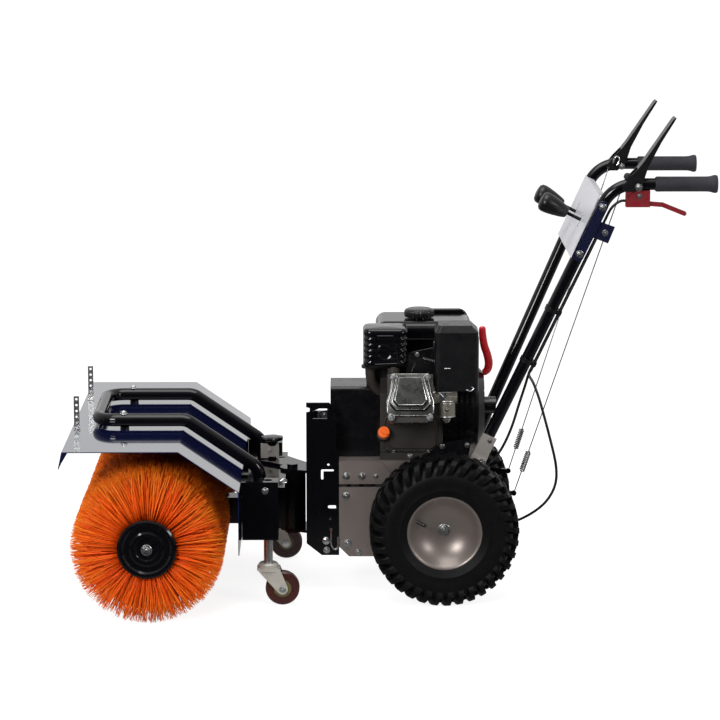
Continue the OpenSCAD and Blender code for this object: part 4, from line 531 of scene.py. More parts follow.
# %% [markdown]
# ## Cables in their sheaths
# A throttle cable and a brush clutch cable run down the back of the left handlebar tube, held by two clips.
# One of them swings out behind the wheel in a wide bow before it goes into the gear case. A curve object
# with a bevel would do, but here the smooth line is worked out directly: a chain of cubic pieces through the
# marked points, each with the slope of the line between its neighbours, and a circle is carried along it.

# %% Lay the cables
bar_foot = np.array([-84.0, 96.8, 316.0])
bar_corner = np.array([-362.0, 197.0, 931.0])
bar_way = unit(bar_corner - bar_foot)
bar_lean = math.atan2(-bar_way[0], bar_way[2])
bar_side = unit(np.cross(bar_way, [math.cos(bar_lean), 0.0, math.sin(bar_lean)]))
bar_front = np.cross(bar_side, bar_way)


def on_bar(forward, sideways, along):
    """Millimetre point beside the left handlebar tube:
    foot + forward * front + sideways * side + along * way."""
    return tuple(bar_foot + forward * bar_front + sideways * bar_side + along * bar_way)


def through(points, steps):
    """Smooth line through points, between b and c the cubic
    b + f(c-a)/2 + f^2(2a-5b+4c-d)/2 + f^3(3b-3c+d-a)/2."""
    p = np.asarray(points, dtype=float)
    p = np.concatenate([p[:1], p, p[-1:]])
    a, b, c, d = (p[k:len(p) - 3 + k, None] for k in range(4))
    f = (np.arange(steps) / steps)[None, :, None]
    line = (b + f * (c - a) / 2 + f ** 2 * (2 * a - 5 * b + 4 * c - d) / 2
            + f ** 3 * (3 * b - 3 * c + d - a) / 2)
    return np.concatenate([line.reshape(-1, p.shape[1]), p[-1:]])


bar_runs = [545, 470, 385, 350, 300, 256, 228, 214]
clutch_route = ([(-390, 197, 895), (-377, 196, 893), (-360, 191, 878), (-346, 188, 850)]
                + [on_bar(-19, 6, s) for s in bar_runs]
                + [(-198, 141, 482), (-210, 146, 450), (-223, 149, 405), (-235, 149, 360), (-245, 148, 320),
                   (-250, 146, 290), (-250, 142, 262), (-243, 136, 236), (-228, 128, 210), (-205, 118, 187),
                   (-175, 104, 166), (-145, 89, 153), (-120, 78, 149), (-102, 75, 148)])
throttle_route = ([on_bar(-19, -6, s) for s in [585] + bar_runs]
                  + [(-180, 119, 470), (-168, 114, 430), (-155, 110, 385), (-142, 105, 350),
                     (-128, 101, 322), (-112, 97, 300), (-90, 95, 284)])
cable_shapes = [rod(through(route, 6), 3) for route in (clutch_route, throttle_route)]
piece("cable_sheaths", joined(*cable_shapes), "chassis", cable_black, ["sheathed_cables"])

# %% [markdown]
# ## Clutch wires with their springs
# Each hand lever pulls a thin wire. Near its lower end the wire becomes a close-wound tension spring, hooked
# to an arm at the gear case. The coil is a helix: a point that goes round and climbs at once. A Screw
# modifier could wind it, but the formula lets the wire swing out to the coil and back onto the axis at both
# ends.

# %% Wind the springs
wire_low, wire_top = np.array([-158.0, 114.9, 228.0]), np.array([-385.0, 172.3, 923.0])
wire_r, coil_wire_r, coil_r = 1.2 * MM, 1.5 * MM, 5.2 * MM
coil_turns, steps_a_turn, coil_start, coil_length = 12, 20, 53.4, 49.4


def sprung_wire(sign):
    """Straight hook, helix (coil_r cos a, coil_r sin a, climb), straight wire and a nipple across the top."""
    mirror = np.array([1.0, sign, 1.0])
    low, top = placed(wire_low * mirror), placed(wire_top * mirror)
    way = unit(top - low)
    side, up = axes_about(way)
    t = np.linspace(0.0, 1.0, coil_turns * steps_a_turn + 1)[:, None]
    swell = np.minimum(1.0, np.minimum(t, 1 - t) * 2 * coil_turns)
    a = t * coil_turns * 2 * np.pi
    climb = (coil_start + coil_length * t) * MM
    coil = low + climb * way + coil_r * swell * (np.cos(a) * side + np.sin(a) * up)
    runs = ((6.6, 53.6), (102.6, np.linalg.norm(top - low) / MM))
    hook, wire = (low + np.array([[start], [stop]]) * MM * way for start, stop in runs)
    nipple = top + np.array([[-3.5], [3.5]]) * MM * np.array(left)
    return joined(piped(hook, wire_r, 8, side), piped(coil, coil_wire_r, 8, way),
                  piped(wire, wire_r, 8, side), piped(nipple, 3 * MM, 16, above))


for side_name, sign in SIDES:
    piece("sprung_wire_" + side_name, sprung_wire(sign), "wire_" + side_name, spring_steel,
          ["clutch_wire_" + side_name])

# %% [markdown]
# ## Hand grips
# The grips are slip-on rubber sleeves: a collar at the front, a long waist with shallow rings that the
# fingers feel more than the eye sees, and a flare at the end that keeps the hand on. One profile carried
# round the tube gives all of that, with the rings as a small cosine added to the radius.

# %% Turn the grips
def grip_shape(y):
    """Radius 16.5 mm, plus a flare at the free end and 0.24 mm rings every 4.5 mm along the waist."""
    s = np.linspace(0.0, 135.0, 271)
    flare = 3.0 * np.clip(1 - (s - 8) / 16, 0.0, 1.0) ** 2
    rings = 0.12 * (np.cos(s * 2 * np.pi / 4.5) - 1) * ((s > 26) & (s < 122))
    ends = 2.0 * np.clip(1 - s / 3, 0, 1) ** 2 + 2.5 * np.clip((s - 131) / 4, 0, 1) ** 2
    profile = np.stack([16.5 + flare + rings - ends, s], axis=1)
    profile = np.concatenate([[[0.0, 0.0]], profile, [[13.1, 135.0], [13.1, 130.0]]])
    return spun(profile, spot(-588, y, 931), ahead, 40)


both_grips = joined(grip_shape(197), grip_shape(-197))
piece("hand_grips", both_grips, "chassis", grip_rubber, ["grips"])

# %% [markdown]
# ## Fasteners
# Zinc hex bolts and nuts on washers hold the plates together, and they catch the light as bright dots all
# over the machine. Every one has the same form, so one pattern of points is made at unit size and copied to
# each place by broadcasting: pattern times size, turned to the bolt's own direction, and moved to its seat.

# %% Set the fasteners
def bolt_pattern():
    """Washer of radius 1, hexagon head of radius 0.72 with a chamfered top, and a stub of thread, along z."""
    washer = [(0, 0), (1.0, 0), (1.0, 0.16), (0.94, 0.2), (0, 0.2)]
    head = [(0, 0.2), (0.72, 0.2), (0.72, 0.62), (0.62, 0.72), (0, 0.72)]
    stub = [(0, 0.7), (0.34, 0.7), (0.34, 0.86), (0.28, 0.92), (0, 0.92)]
    parts = ((washer, 24), (head, 6), (stub, 16))
    return joined(*(turned(line, (0, 0, 0), above, sides) for line, sides in parts))


def bolts(seats):
    """Pattern copied to every (place, way, radius): place + radius * (x * side + y * up + z * way)."""
    places, ways, radii = zip(*seats)
    way = unit(ways)
    side, up = axes_about(way)
    points, quads = bolt_pattern()
    local = points[None] * (np.array(radii, dtype=float) * MM)[:, None, None]
    copies = (placed(places)[:, None] + local[..., 0:1] * side[:, None] + local[..., 1:2] * up[:, None]
              + local[..., 2:3] * way[:, None])
    numbers = np.arange(len(seats))[:, None, None] * len(points) + quads
    return copies.reshape(-1, 3), numbers.reshape(-1, 4)


def facing(way, *rows):
    """Seats that share a direction, from rows of x, y, z and washer radius."""
    return [((x, y, z), way, radius) for x, y, z, radius in rows]


def both_sides(seats):
    """Seats on the left, and the same again mirrored to the right."""
    return seats + [((x, -y, z), (a, -b, c), radius) for (x, y, z), (a, b, c), radius in seats]


def bolted(name, body, seats, *extra):
    """Zinc piece of bolts on their seats, after any extra shapes."""
    piece(name, joined(*extra, bolts(seats)), body, zinc_plate, sharp=25)


bolted("chassis_bolts", "chassis", both_sides(facing(
    left, (216, 110, 266, 8.5), (181, 110, 266, 8), (217, 110, 221, 8.5), (213, 110, 113, 8.5),
    (189, 110, 92, 6.5), (260, 110, 97, 7.5), (-104, 114, 348, 9), (-84, 114, 299, 9))))

# %% [markdown]
# ## Engine, handle and brush fasteners
# The rocker cover is held by four flanged screws at its corners, the panel's side plates by two bolts a
# side, and the clutch levers hang on pivot bolts. The cover leans with the cylinder, so its screws are
# placed in the cylinder's own axes first: along the bore, across, and up. Typing world places would break
# once the tilt is changed.

# %% Set the engine and handle bolts
cylinder_tilt = math.radians(16)
bore_way = np.array([0.0, math.cos(cylinder_tilt), math.sin(cylinder_tilt)])
bore_up = np.array([0.0, -math.sin(cylinder_tilt), math.cos(cylinder_tilt)])


def on_cylinder(across, along, up):
    """Millimetre point in the cylinder's axes:
    (75, 0, 406) + across * x + along * bore_way + up * bore_up."""
    return tuple(np.array([75.0 + across, 0.0, 406.0]) + along * bore_way + up * bore_up)


bolted("rocker_cover_screws", "chassis", [(on_cylinder(x, 201, z), tuple(bore_way), 7.5)
                                          for x, z in ((-42, -44), (42, -44), (-37, 44), (37, 44))])
plate_seats = both_sides([(on_bar(0, 15.5, s), tuple(bar_side), 8.5) for s in (514, 630)])
bolted("handle_bolts", "chassis", plate_seats + facing(left, (-419, 208, 906, 6.0)))
for side_name, sign in SIDES:
    out, back = (0, sign, 0), (0, -sign, 0)
    pivots = facing(out, (-416, sign * 217.5, 926, 8.0)) + facing(back, (-416, sign * 176.5, 926, 7.0))
    bolted("lever_pivot_" + side_name, "lever_" + side_name, pivots)
    bolted("hub_bolt_" + side_name, "wheel_" + side_name, facing(out, (0, sign * 200.9, axle_z, 13.5)))
bolted("brush_end_bolts", "brush", [((644, sign * 392, 168), (0, sign, 0), 12.0) for _, sign in SIDES])

# %% [markdown]
# ## Tyre valves
# A short rubber valve stands in each rim, leaning out of the well so that a pump can reach it. It is a
# stepped profile turned round its own leaning axis: a thick rubber root, a slim stem and a cap with a
# rounded top.

# %% Plant the valves
valve_line = [(0, 0), (5.6, 0), (5.4, 5), (4.0, 8), (3.8, 20), (4.3, 20.5), (4.3, 30), (3.4, 32), (0, 32.4)]
valve_r, valve_angle = 72, math.radians(20)
rise = np.array([math.cos(valve_angle), 0.0, math.sin(valve_angle)])
for side_name, sign in SIDES:
    root = placed(np.array([0, sign * 214, axle_z]) + valve_r * rise)
    valve = spun(valve_line, root, np.array([0.0, sign * 0.55, 0.0]) - rise, 20)
    piece("tyre_valve_" + side_name, valve, "wheel_" + side_name, shell_black)

# %% [markdown]
# ## Lugged tyres
# The tyres are small tractor tyres: a rounded carcass with chunky rubber blocks in four rows, two on the
# crown and two that fold over the shoulders. One block is a sweep of a four-cornered section along a short
# line in the tyre's own cross-section. All blocks of a row are the same sweep turned to other angles, so a
# row is one broadcast over angles. An array modifier round an empty would do the same, but less exactly at
# the seams.

# %% Mould the tyres
carcass_half = np.array([(76.2, 40), (78, 46), (86, 52), (96, 57), (99, 59), (102, 58.4), (114, 60),
                         (126, 60), (136, 57), (144, 51), (149, 42), (152, 28), (153, 14), (153.3, 0)])
shoulder_line = np.array([[(150, 25), (165, 25)], [(149, 38), (165, 39)], [(144, 50), (163.5, 51)],
                          [(140, 54), (156, 59.5)], [(136, 57), (146, 62)], [(132, 58.5), (139, 61.5)]])
crown_line = np.array([[(151, 2), (164.4, 2.5)], [(151, 10), (165, 11)], [(150, 20), (164.6, 20)]])


def lug_row(line, angles, width, skew, side):
    """Blocks on a tyre: at each station a base and a top point (radius, y), spread by half widths in
    radians. A corner is (radius * sin(angle), side * y, radius * cos(angle)), and the angle drifts by skew
    along the line."""
    s = np.linspace(0.0, 1.0, len(line))
    corners = line[:, [0, 1, 1, 0]]
    spread = np.array([-1.0, -0.78, 0.78, 1.0]) * width / 2
    turn = np.broadcast_to(spread, (len(line), 4)) + skew * s[:, None]
    first, last = (np.broadcast_to(corners[k].mean(axis=0), (1, 4, 2)) for k in (0, -1))
    corners = np.concatenate([first, corners, last])
    turn = np.concatenate([np.zeros((1, 4)), turn, np.full((1, 4), skew)])
    a = angles[:, None, None] + turn[None]
    r = np.broadcast_to(corners[..., 0], a.shape)
    y = np.broadcast_to(corners[..., 1] * side, a.shape)
    points = np.stack([r * np.sin(a), y, r * np.cos(a)], axis=-1)
    rows = len(line) + 2
    quads = np.arange(len(angles))[:, None, None] * rows * 4 + grid_quads(rows, 4)
    return points.reshape(-1, 3), quads.reshape(-1, 4)


def tyre_shape(sign):
    """Carcass profile turned round the axle, and shoulder and crown blocks staggered from side to side."""
    count = 36
    pitch = 2 * np.pi / count
    profile = np.concatenate([carcass_half, carcass_half[-2::-1] * [1, -1], carcass_half[:1]])
    angles = np.arange(count) * pitch
    rows = [lug_row(shoulder_line, angles + shift, 0.56 * pitch, 0.10 * turn, side)
            for side, shift, turn in ((1, 0.0, 1), (-1, pitch / 2, -1))]
    rows += [lug_row(crown_line, angles + shift, 0.6 * pitch, 0.14 * turn, side)
             for side, shift, turn in ((1, 0.55 * pitch, -1), (-1, 0.05 * pitch, 1))]
    points, quads = joined(turned(profile, (0, 0, 0), left, 96), *rows)
    return points * MM + spot(0, sign * half_track, axle_z), quads


for side_name, sign in SIDES:
    piece("lugged_tyre_" + side_name, tyre_shape(sign), "wheel_" + side_name, tyre_rubber,
          ["tyre_" + side_name], sharp=32)

# %% [markdown]
# ## Fuel cap and starter grip
# The fuel cap is a thick moulded disc with a domed top and ribs for the fingers. The ribs are a cosine of
# the angle added to the radius, only on the rows of the rim. The starter grip is a bent bar of red plastic,
# thick where the fingers pull and thin at its ends: a smooth line through marked points that each carry a
# radius.

# %% Mould the cap and the grip
cap_rows = [(0, -16, 0), (17.9, -16, 0), (17.9, 0, 0), (30, 0, 0), (32.6, 0.8, 0), (34, 3, 0.035),
            (34, 12, 0.035), (33.2, 14.6, 0.03), (31, 17, 0), (26, 18.8, 0), (24.6, 18.2, 0), (16, 19.4, 0),
            (0, 20, 0)]
cap_ribs = 30
ribbed_cap = fluted(cap_rows, lambda a: (np.cos(cap_ribs * a) - 1) / 2, 180, spot(50, -50, 600.4))
piece("ribbed_fuel_cap", ribbed_cap, "tank_cap", satin_black, ["fuel_cap"])
grip_line = through([(-89.6, 589, 4.6), (-89.8, 585, 7.4), (-90.6, 570, 8.2), (-94.4, 546, 8.8),
                     (-101.0, 526, 9.0), (-104.6, 508, 9.2), (-103.0, 494, 9.0), (-97.0, 486, 8.0),
                     (-90.6, 484.5, 6.6)], 6)
starter_bar = piped(stood(grip_line, 20.0), grip_line[:, 2] * MM, 14)
piece("starter_loop", starter_bar, "starter_grip", red_paint, ["recoil_grip"])

# %% [markdown]
# ## The rocker cover
# The rocker cover is a die casting: a flange with four screws, a terrace on it, and a crown on the terrace,
# all wider below than above. Each level is an outline with ten corners, and a stack of outlines at rising
# distances along the bore makes one closed surface. A thin bead lies on each edge, in bright metal that is a
# painted highlight of the light the bevels catch. A bevel with a second material would do as well, but it
# would need the solid's own edges.

# %% Cast the rocker cover
def mirrored(*half):
    """Whole outline from its right half: the corners in order, then mirrored back to the start."""
    half = np.array(half, dtype=float)
    return np.concatenate([half, half[::-1] * [-1.0, 1.0]])


def on_cover(loop, scale, along):
    """Outline (across, up) scaled about its middle, in the cylinder's axes at a distance along the bore."""
    mid = loop.mean(axis=0)
    return placed([on_cylinder(x, along, z) for x, z in mid + scale * (loop - mid)])


def stacked(*levels):
    """Closed surface through (outline, scale about its middle, distance along the bore)."""
    rows = [on_cover(*level) for level in levels]
    return np.concatenate(rows), grid_quads(len(rows), len(rows[0]))


flange_line = mirrored((38, 52.5), (45, 10), (51, -8), (51, -33), (44, -40.5))
terrace_line = mirrored((30, 46), (37, 18), (43.5, -7), (43.5, -15), (31, -28))
crest_line = mirrored((25, 43), (30, 16), (35, -5), (35, -8.5), (26, -18.5))
lip_line = mirrored((40, 40), (46, 0), (48, -40), (46, -51), (38, -56))
cover = stacked((flange_line, 0.0, 187.6), (flange_line, 1.0, 187.6), (flange_line, 1.0, 196.0),
                (flange_line, 0.97, 197.4), (terrace_line, 1.07, 197.8), (terrace_line, 1.0, 207.4),
                (terrace_line, 0.95, 208.8), (crest_line, 1.1, 209.2), (crest_line, 1.0, 216.8),
                (crest_line, 0.94, 218.3), (crest_line, 0.0, 218.5))
lip = stacked((lip_line, 0.0, 150.0), (lip_line, 0.98, 150.0), (lip_line, 1.0, 152.0), (lip_line, 1.0, 183.0),
              (lip_line, 0.96, 187.4), (lip_line, 0.0, 187.4))
piece("cast_rocker_cover", joined(cover, lip), "chassis", cover_cast, ["rocker_cover"],
      sharp=25)
# thin beads on the cover's edges, in bright metal as a painted highlight
beads = [looped(on_cover(loop, scale, along), r * MM, 8, bore_way) for loop, scale, along, r in (
    (flange_line, 0.985, 197.0, 0.9), (flange_line, 1.0, 188.2, 0.7), (terrace_line, 0.98, 208.4, 1.0),
    (crest_line, 0.98, 217.8, 0.8))]
piece("rocker_cover_highlight_beads", joined(*beads), "chassis", edge_highlight_metal)

# %% [markdown]
# ## Pressed rims
# A rim of this size is pressed from sheet into one smooth bowl with a rolled lip, and the hub sits behind
# it. The solid model has straight cones there. Here a finer profile is turned round the axle: bowl, lip,
# tyre seat and half shaft in one closed line, so that the lamps slide over the bowl without a kink.

# %% Press the rims
bowl_line = [(0, 13.4), (18, 13.6), (32, 16), (48, 22), (60, 29.5), (69, 37.5), (75, 44.5), (79, 48.2),
             (83, 49.6), (85.6, 48.8), (86, 46.5)]
seat_line = [(85, 45.6), (76.4, 45), (75.9, 40), (75.9, -40), (76.4, -45), (85, -45.6), (86, -48), (85, -50),
             (78, -49.6), (72, -44)]
shaft_line = [(71.6, 30), (60, 22), (31, 9), (30, 6), (30, -50), (12.4, -50), (12.4, -165.4), (0, -165.4)]
for side_name, sign in SIDES:
    rim = spun(bowl_line + seat_line + shaft_line, spot(0, sign * half_track, axle_z), (0, sign, 0), 96)
    piece("pressed_rim_" + side_name, rim, "wheel_" + side_name, rim_paint,
          ["rim_" + side_name], sharp=40)

# %% [markdown]
# ## Hand levers and shift rods
# Each clutch lever is a channel folded from sheet: two cheeks that straddle the tube and a web along the
# front edge. A cheek is a strip between a front line and a back line, and the web is a strip across, so both
# are the same sweep of a four-cornered section. The shift rods are plain round bars from their pivots to the
# knobs.

# %% Fold the levers, draw the rods
lever_front = np.array([(35, 3), (18, 24), (2, 40), (-12, 58), (-44, 105), (-72, 146), (-77, 151)])
lever_back = np.array([(35, -9), (10, -9), (-9, 8), (-20, 44), (-48, 98), (-75, 142), (-79, 149)])
knob_line = [(0, -33), (9, -33), (12, -31), (15, -22), (19, -5), (21.6, 10), (22.4, 20), (21.2, 27),
             (17, 31.5), (9, 33.4), (0, 33.6)]
eye_line = [(0, -5), (9, -5), (9.6, -4), (9.6, 4), (9, 5), (0, 5)]
collar_line = [(0, -9), (6.4, -9), (7, -8), (7, 0), (0, 0)]


def strip(*lines):
    """Bar with four corner lines, closed at both ends by the middle of the end corners."""
    rows = np.stack(lines, axis=1)
    ends = rows.mean(axis=1, keepdims=True)
    rows = np.concatenate([np.repeat(ends[:1], 4, axis=1), rows, np.repeat(ends[-1:], 4, axis=1)])
    return rows.reshape(-1, 3), grid_quads(len(rows), 4)


def lever_shape(sign):
    """Cheeks 3 mm thick at 17.5 mm from the tube's middle, and a 3 mm web along the front line."""
    def at(line, y):
        return stood(line + [-416.0, 926.0], y + sign * 197.0)

    inner = lever_front + 3.0 * unit(lever_back - lever_front)
    cheeks = [strip(at(lever_front, y), at(lever_front, y + 3), at(lever_back, y + 3), at(lever_back, y))
              for y in (17.5, -20.5)]
    web = strip(at(lever_front[2:], -18), at(lever_front[2:], 18), at(inner[2:], 18), at(inner[2:], -18))
    return joined(*cheeks, web)


for side_name, sign in SIDES:
    piece("folded_lever_" + side_name, lever_shape(sign), "lever_" + side_name, shell_black,
          ["clutch_lever_" + side_name])
    knob_mid = sum(corners_of("shift_knob_" + side_name)) / 2
    rod_low, rod_high = corners_of("shift_rod_" + side_name)
    rod_mid = (rod_low + rod_high) / 2
    rod_way = unit(knob_mid - rod_mid)
    foot = rod_mid - rod_way * (np.linalg.norm(rod_high[[0, 2]] - rod_low[[0, 2]]) / 2 - 9 * MM)
    bar = joined(piped([foot, rod_mid, knob_mid], 3.8 * MM, 16), spun(eye_line, foot, left, 28),
                 spun(collar_line, knob_mid - 28 * MM * rod_way, rod_way, 20))
    piece("shift_bar_" + side_name, bar, "shift_" + side_name, black_paint,
          ["shift_rod_" + side_name])
    knob = spun(knob_line, knob_mid - 4 * MM * rod_way, rod_way, 40)
    piece("shift_ball_" + side_name, knob, "shift_" + side_name, shell_black,
          ["shift_knob_" + side_name])

# %% [markdown]
# ## Clamp knob and casters
# The swivel clamp is a black lobed knob on a slim stud. Its lobes are a cosine of the angle that fades out
# towards the domed top. The casters get the yellow-green hub washers and axle nuts of such bought-in wheels.

# %% Turn the knob and the hub washers
clamp_rows = [(0, -12, 0), (4.9, -12, 0), (4.9, 0, 0), (13, 0, 0), (13, 4, 0), (12, 5, 0), (4.9, 5, 0),
              (4.9, 28, 0), (11, 30, 0), (13, 33, 0), (14, 39, 0), (21, 41.5, 0.05), (25, 44, 0.07),
              (25.6, 47, 0.07), (23.5, 50, 0.06), (16, 51.6, 0.03), (7, 51.9, 0), (0, 52, 0)]
clamp_lobes = 7
clamp_low, clamp_high = corners_of("clamp_knob")
clamp_base = np.append((clamp_low + clamp_high)[:2] / 2, clamp_high[2] - 52 * MM)
lobed_knob = fluted(clamp_rows, lambda a: np.cos(clamp_lobes * a), 84, clamp_base)
piece("lobed_clamp_knob", lobed_knob, "swivel_clamp", black_paint, ["clamp_knob"])
washer_line = [(10.2, 8.8), (19.7, 8.8), (19.7, 12.4), (18.4, 13.6), (12, 14.4), (10.2, 14.4)]
for side_name, sign in SIDES:
    hub = (357, sign * 210, 37.5)
    washers = joined(*(ring_of(washer_line, spot(*hub), (0, way, 0)) for way in (1, -1)))
    piece("hub_washers_" + side_name, washers, "roller_" + side_name, roller_olive)
    bolted("axle_nuts_" + side_name, "fork_" + side_name,
           [((hub[0], hub[1] + 22 * way, hub[2]), (0, way, 0), 7.0) for way in (1, -1)])

# %% [markdown]
# ## Engine dressing
# A bare block doesn't look like an engine. The muffler guard is pressed with louvres and a raised border,
# the tank has a rolled seam, the fan housing has rings, the crankcase face has a pad inside a rim, and the
# carburettor shows its bowl, its drain screw and its lever. All are thin sweeps that sit on the solids they
# belong to. They could be cut into the solids too, but they carry no load and no joint, so they belong to
# the looks.

# %% Dress the engine
def soft_rectangle(x0, x1, z0, z1, corner, steps=6):
    """Closed outline with round corners: four quarter circles joined by straight sides."""
    centres = ((x1 - corner, z1 - corner), (x0 + corner, z1 - corner), (x0 + corner, z0 + corner),
               (x1 - corner, z0 + corner))
    return np.concatenate([arc(c, corner, 90 * q, 90 * q + 90, steps) for q, c in enumerate(centres)])


def slab(loop, origin, across, up, out, thick, bevel):
    """Plate: outline scaled about its middle by 0, 1 - b, 1, 1, 1 - b, 0 at the heights 0, 0, bevel,
    thick - bevel, thick, thick along out."""
    loop = np.asarray(loop, dtype=float)
    mid = loop.mean(axis=0)
    shrink = 1 - bevel / np.linalg.norm(loop - mid, axis=1).max()
    scale = np.array([0.0, shrink, 1.0, 1.0, shrink, 0.0])[:, None, None]
    height = np.array([0.0, 0.0, bevel, thick - bevel, thick, thick])[:, None, None]
    flat = mid + scale * (loop - mid)
    points = (flat[..., 0:1] * np.asarray(across, dtype=float) + flat[..., 1:2] * np.asarray(up, dtype=float)
              + height * np.asarray(out, dtype=float))
    return points.reshape(-1, 3) * MM + spot(*origin), grid_quads(6, len(loop))


def upright(loop, y, thick, bevel):
    """Plate with its outline in x and z, rising to the left from y."""
    return slab(loop, (0, y, 0), ahead, above, left, thick, bevel)


rib_low, rib_top, rib_pitch, rib_depth, cage_mid = 523.0, 588.0, 13.0, 3.2, np.array([128.5, 71.0])
rib_heights = np.arange(rib_low, rib_top, 1.5)
heights = np.concatenate([[511, 511, 512, 515, 519], rib_heights, [591, 595, 598, 599, 599]])
inset = np.concatenate([[9, 7, 4, 1.4, 0.2], np.zeros(len(rib_heights)), [0.2, 1.4, 4, 7, 9]])
cage_rows = []
for height, draw in zip(heights, inset):
    loop = soft_rectangle(79 + draw, 178 - draw, 26 + draw, 116 - draw, 17 - draw * 0.8)
    beside = np.clip((np.abs(loop[:, 0:1] - cage_mid[0]) - 30) / 10, 0.06, 1)
    ripple = rib_depth * (0.5 - 0.5 * np.cos((height - rib_low) * 2 * np.pi / rib_pitch))
    ripple = ripple * (rib_low < height < rib_top)
    cage_rows.append(stood(loop - beside * ripple * unit(loop - cage_mid), height, lying=True))
# both ends of the cage close in its middle
cage_rows[0], cage_rows[-1] = (stood(cage_mid + 0 * loop, height, lying=True) for height in heights[[0, -1]])
cage = np.concatenate(cage_rows), grid_quads(len(cage_rows), len(loop))
dish = ring_of([(13, 0), (17, 1.6), (19, 1.0), (19.5, -1.5), (13, -1.5)], spot(130, 115.6, 548), left, 48)
stiffeners = [rod([(x0, 115.6, z0), (x1, 116.0, z1)], 2.0, 10, (1.0, 0.3, 0.2)) for x0, z0, x1, z1 in (
    (98, 522, 110, 590), (158, 522, 148, 590), (112, 584, 147, 584), (104, 522, 152, 520))]
piece("muffler_cage", joined(cage, dish, *stiffeners), "chassis", black_paint,
      ["muffler_guard"])
shield = upright([(98, 440), (170, 452), (172, 514), (98, 514)], 30, 12, 1.0)
piece("exhaust_shield", shield, "chassis", heat_black, sharp=25)
belt_flange = upright([(139, 300), (156, 300), (156, 444), (139, 444)], 50, 9, 0.8)
control_plate = upright([(16, 466), (82, 476), (82, 542), (16, 556)], 92, 3, 0.6)
engine_plates = joined(belt_flange, control_plate)
piece("black_engine_plates", engine_plates, "chassis", satin_black, sharp=25)
case_pad = upright(soft_rectangle(14, 120, 324, 392, 12), 84.6, 5, 2.4)
case_rim = looped(stood(soft_rectangle(8, 130, 319, 398, 14), 85.2), 2.2 * MM, 10)
case_ribs = [rod([(x, 85.2, 318), (x, 92, 316.6)], 3.4, 10, (1.0, 0.2, 0.0)) for x in (22, 58, 96, 126)]
piece("crankcase_face", joined(case_pad, case_rim, *case_ribs), "chassis", engine_grey)
coil_turn = np.linspace(0.0, 9 * 2 * np.pi, 109)[:, None]
coil_line = (np.array([44.0, 99.0, 531.0]) + coil_turn / coil_turn[-1] * np.array([-36.0, 0.0, -10.0])
             + 2.6 * (np.cos(coil_turn) * np.array(left) + np.sin(coil_turn) * np.array([0.27, 0.0, 0.96])))
link_bars = [rod([start, stop], radius, 8, (0.1, 0.9, 0.3)) for start, stop, radius in (
    ((9, 150, 471), (-16, 150, 472), 1.6), ((0, 172, 521), (-13, 172, 521), 1.4),
    ((62, 96, 520), (70, 96, 500), 1.2), ((8, 150, 472), (4, 132, 500), 1.2))]
stud = spun([(0, 0), (5, 0), (5.4, 1), (5.4, 5), (4.4, 6), (0, 6.4)], spot(57.8, 95, 539), left, 20)
governor = joined(rod(coil_line, 0.8, 6, (0.96, 0.0, 0.27)), stud, *link_bars)
piece("governor_links", governor, "chassis", steel_wire)
seam_path = stood(soft_rectangle(-68, 148, -148, 18, 22), 560, lying=True)
piece("tank_seam", looped(seam_path, 3.2 * MM, 10, above, 0.7), "chassis", black_paint)
rings = [ring_of([(87.4, -3), (90.2, -2), (90.2, 2), (87.4, 3)], spot(x, 0, 406), ahead, 96)
         for x in (-40, -52, -64, -76)]
piece("fan_housing_rings", joined(*rings), "chassis", satin_black)
elbow_path = through([(162, 70, 515), (162, 70, 492), (158, 66, 472), (148, 60, 456), (136, 54, 446)], 6)
flange = spun([(0, 0), (19, 0), (19.6, 1), (19.6, 6), (18, 7), (0, 7)], spot(162, 70, 505), above, 32)
piece("exhaust_elbow", joined(rod(elbow_path, 11, 20), flange), "chassis", engine_grey)
bowl_beads = [looped(stood(arc((-6, 148), r, 0, 351, 40), z, lying=True), bead_r * MM, 8, above)
              for r, z, bead_r in ((19.2, 446, 1.7), (19.0, 441, 1.1), (18.4, 411, 1.4))]
butterfly = spun([(0, 0), (10, 0), (10.4, 0.6), (10.4, 2.4), (10, 3), (0, 3)], spot(2, 163.4, 455), left, 28)
arm = rod([(2, 166, 455), (8, 166.5, 462), (14, 166.5, 467)], 2.2, 10)
link = rod([(14, 166.5, 466.5), (0, 166.8, 467), (-18, 166.5, 466.5)], 1.4, 8)
piece("carburettor_fittings", joined(butterfly, arm, link, *bowl_beads), "chassis", zinc_plate)
latch = slab(soft_rectangle(150, 166, 556, 580, 5), (20, 0, 0), left, above, ahead, 4.5, 1.4)
piece("filter_latch", latch, "chassis", shell_black)
clip_path = through([(-46, 166, 472), (-50, 171, 473), (-58, 172, 471), (-64, 171, 476),
                     (-60, 170.6, 480)], 5)
piece("filter_clip", rod(clip_path, 1.6, 8), "chassis", zinc_plate)
dip_lean, dip_turn = math.radians(25), math.radians(38)
dip_way = np.array([0.0, math.cos(dip_lean), math.sin(dip_lean)])
dip_up = np.array([0.0, -math.sin(dip_lean), math.cos(dip_lean)])
dip_loop = soft_rectangle(-10.5, 10.5, -3.2, 3.2, 2.5, 4) @ np.array(
    [[math.cos(dip_turn), math.sin(dip_turn)], [-math.sin(dip_turn), math.cos(dip_turn)]])
dip_bar = slab(dip_loop, np.array([132.0, 85.0, 355.0]) + 28.3 * dip_way, ahead, dip_up, dip_way, 5.5, 1.0)
piece("dipstick_bar", dip_bar, "oil_dipstick", orange_plastic)

# %% [markdown]
# ## Pins, clips and the last bolts
# A sweeper is taken off its carriage by pulling pins, so pins with spring clips show on the front frame and
# at the caster sleeves. A clip is one bent wire: a smooth line through a few marked points with a circle
# carried along it. The rest are bolts from the same pattern as before.

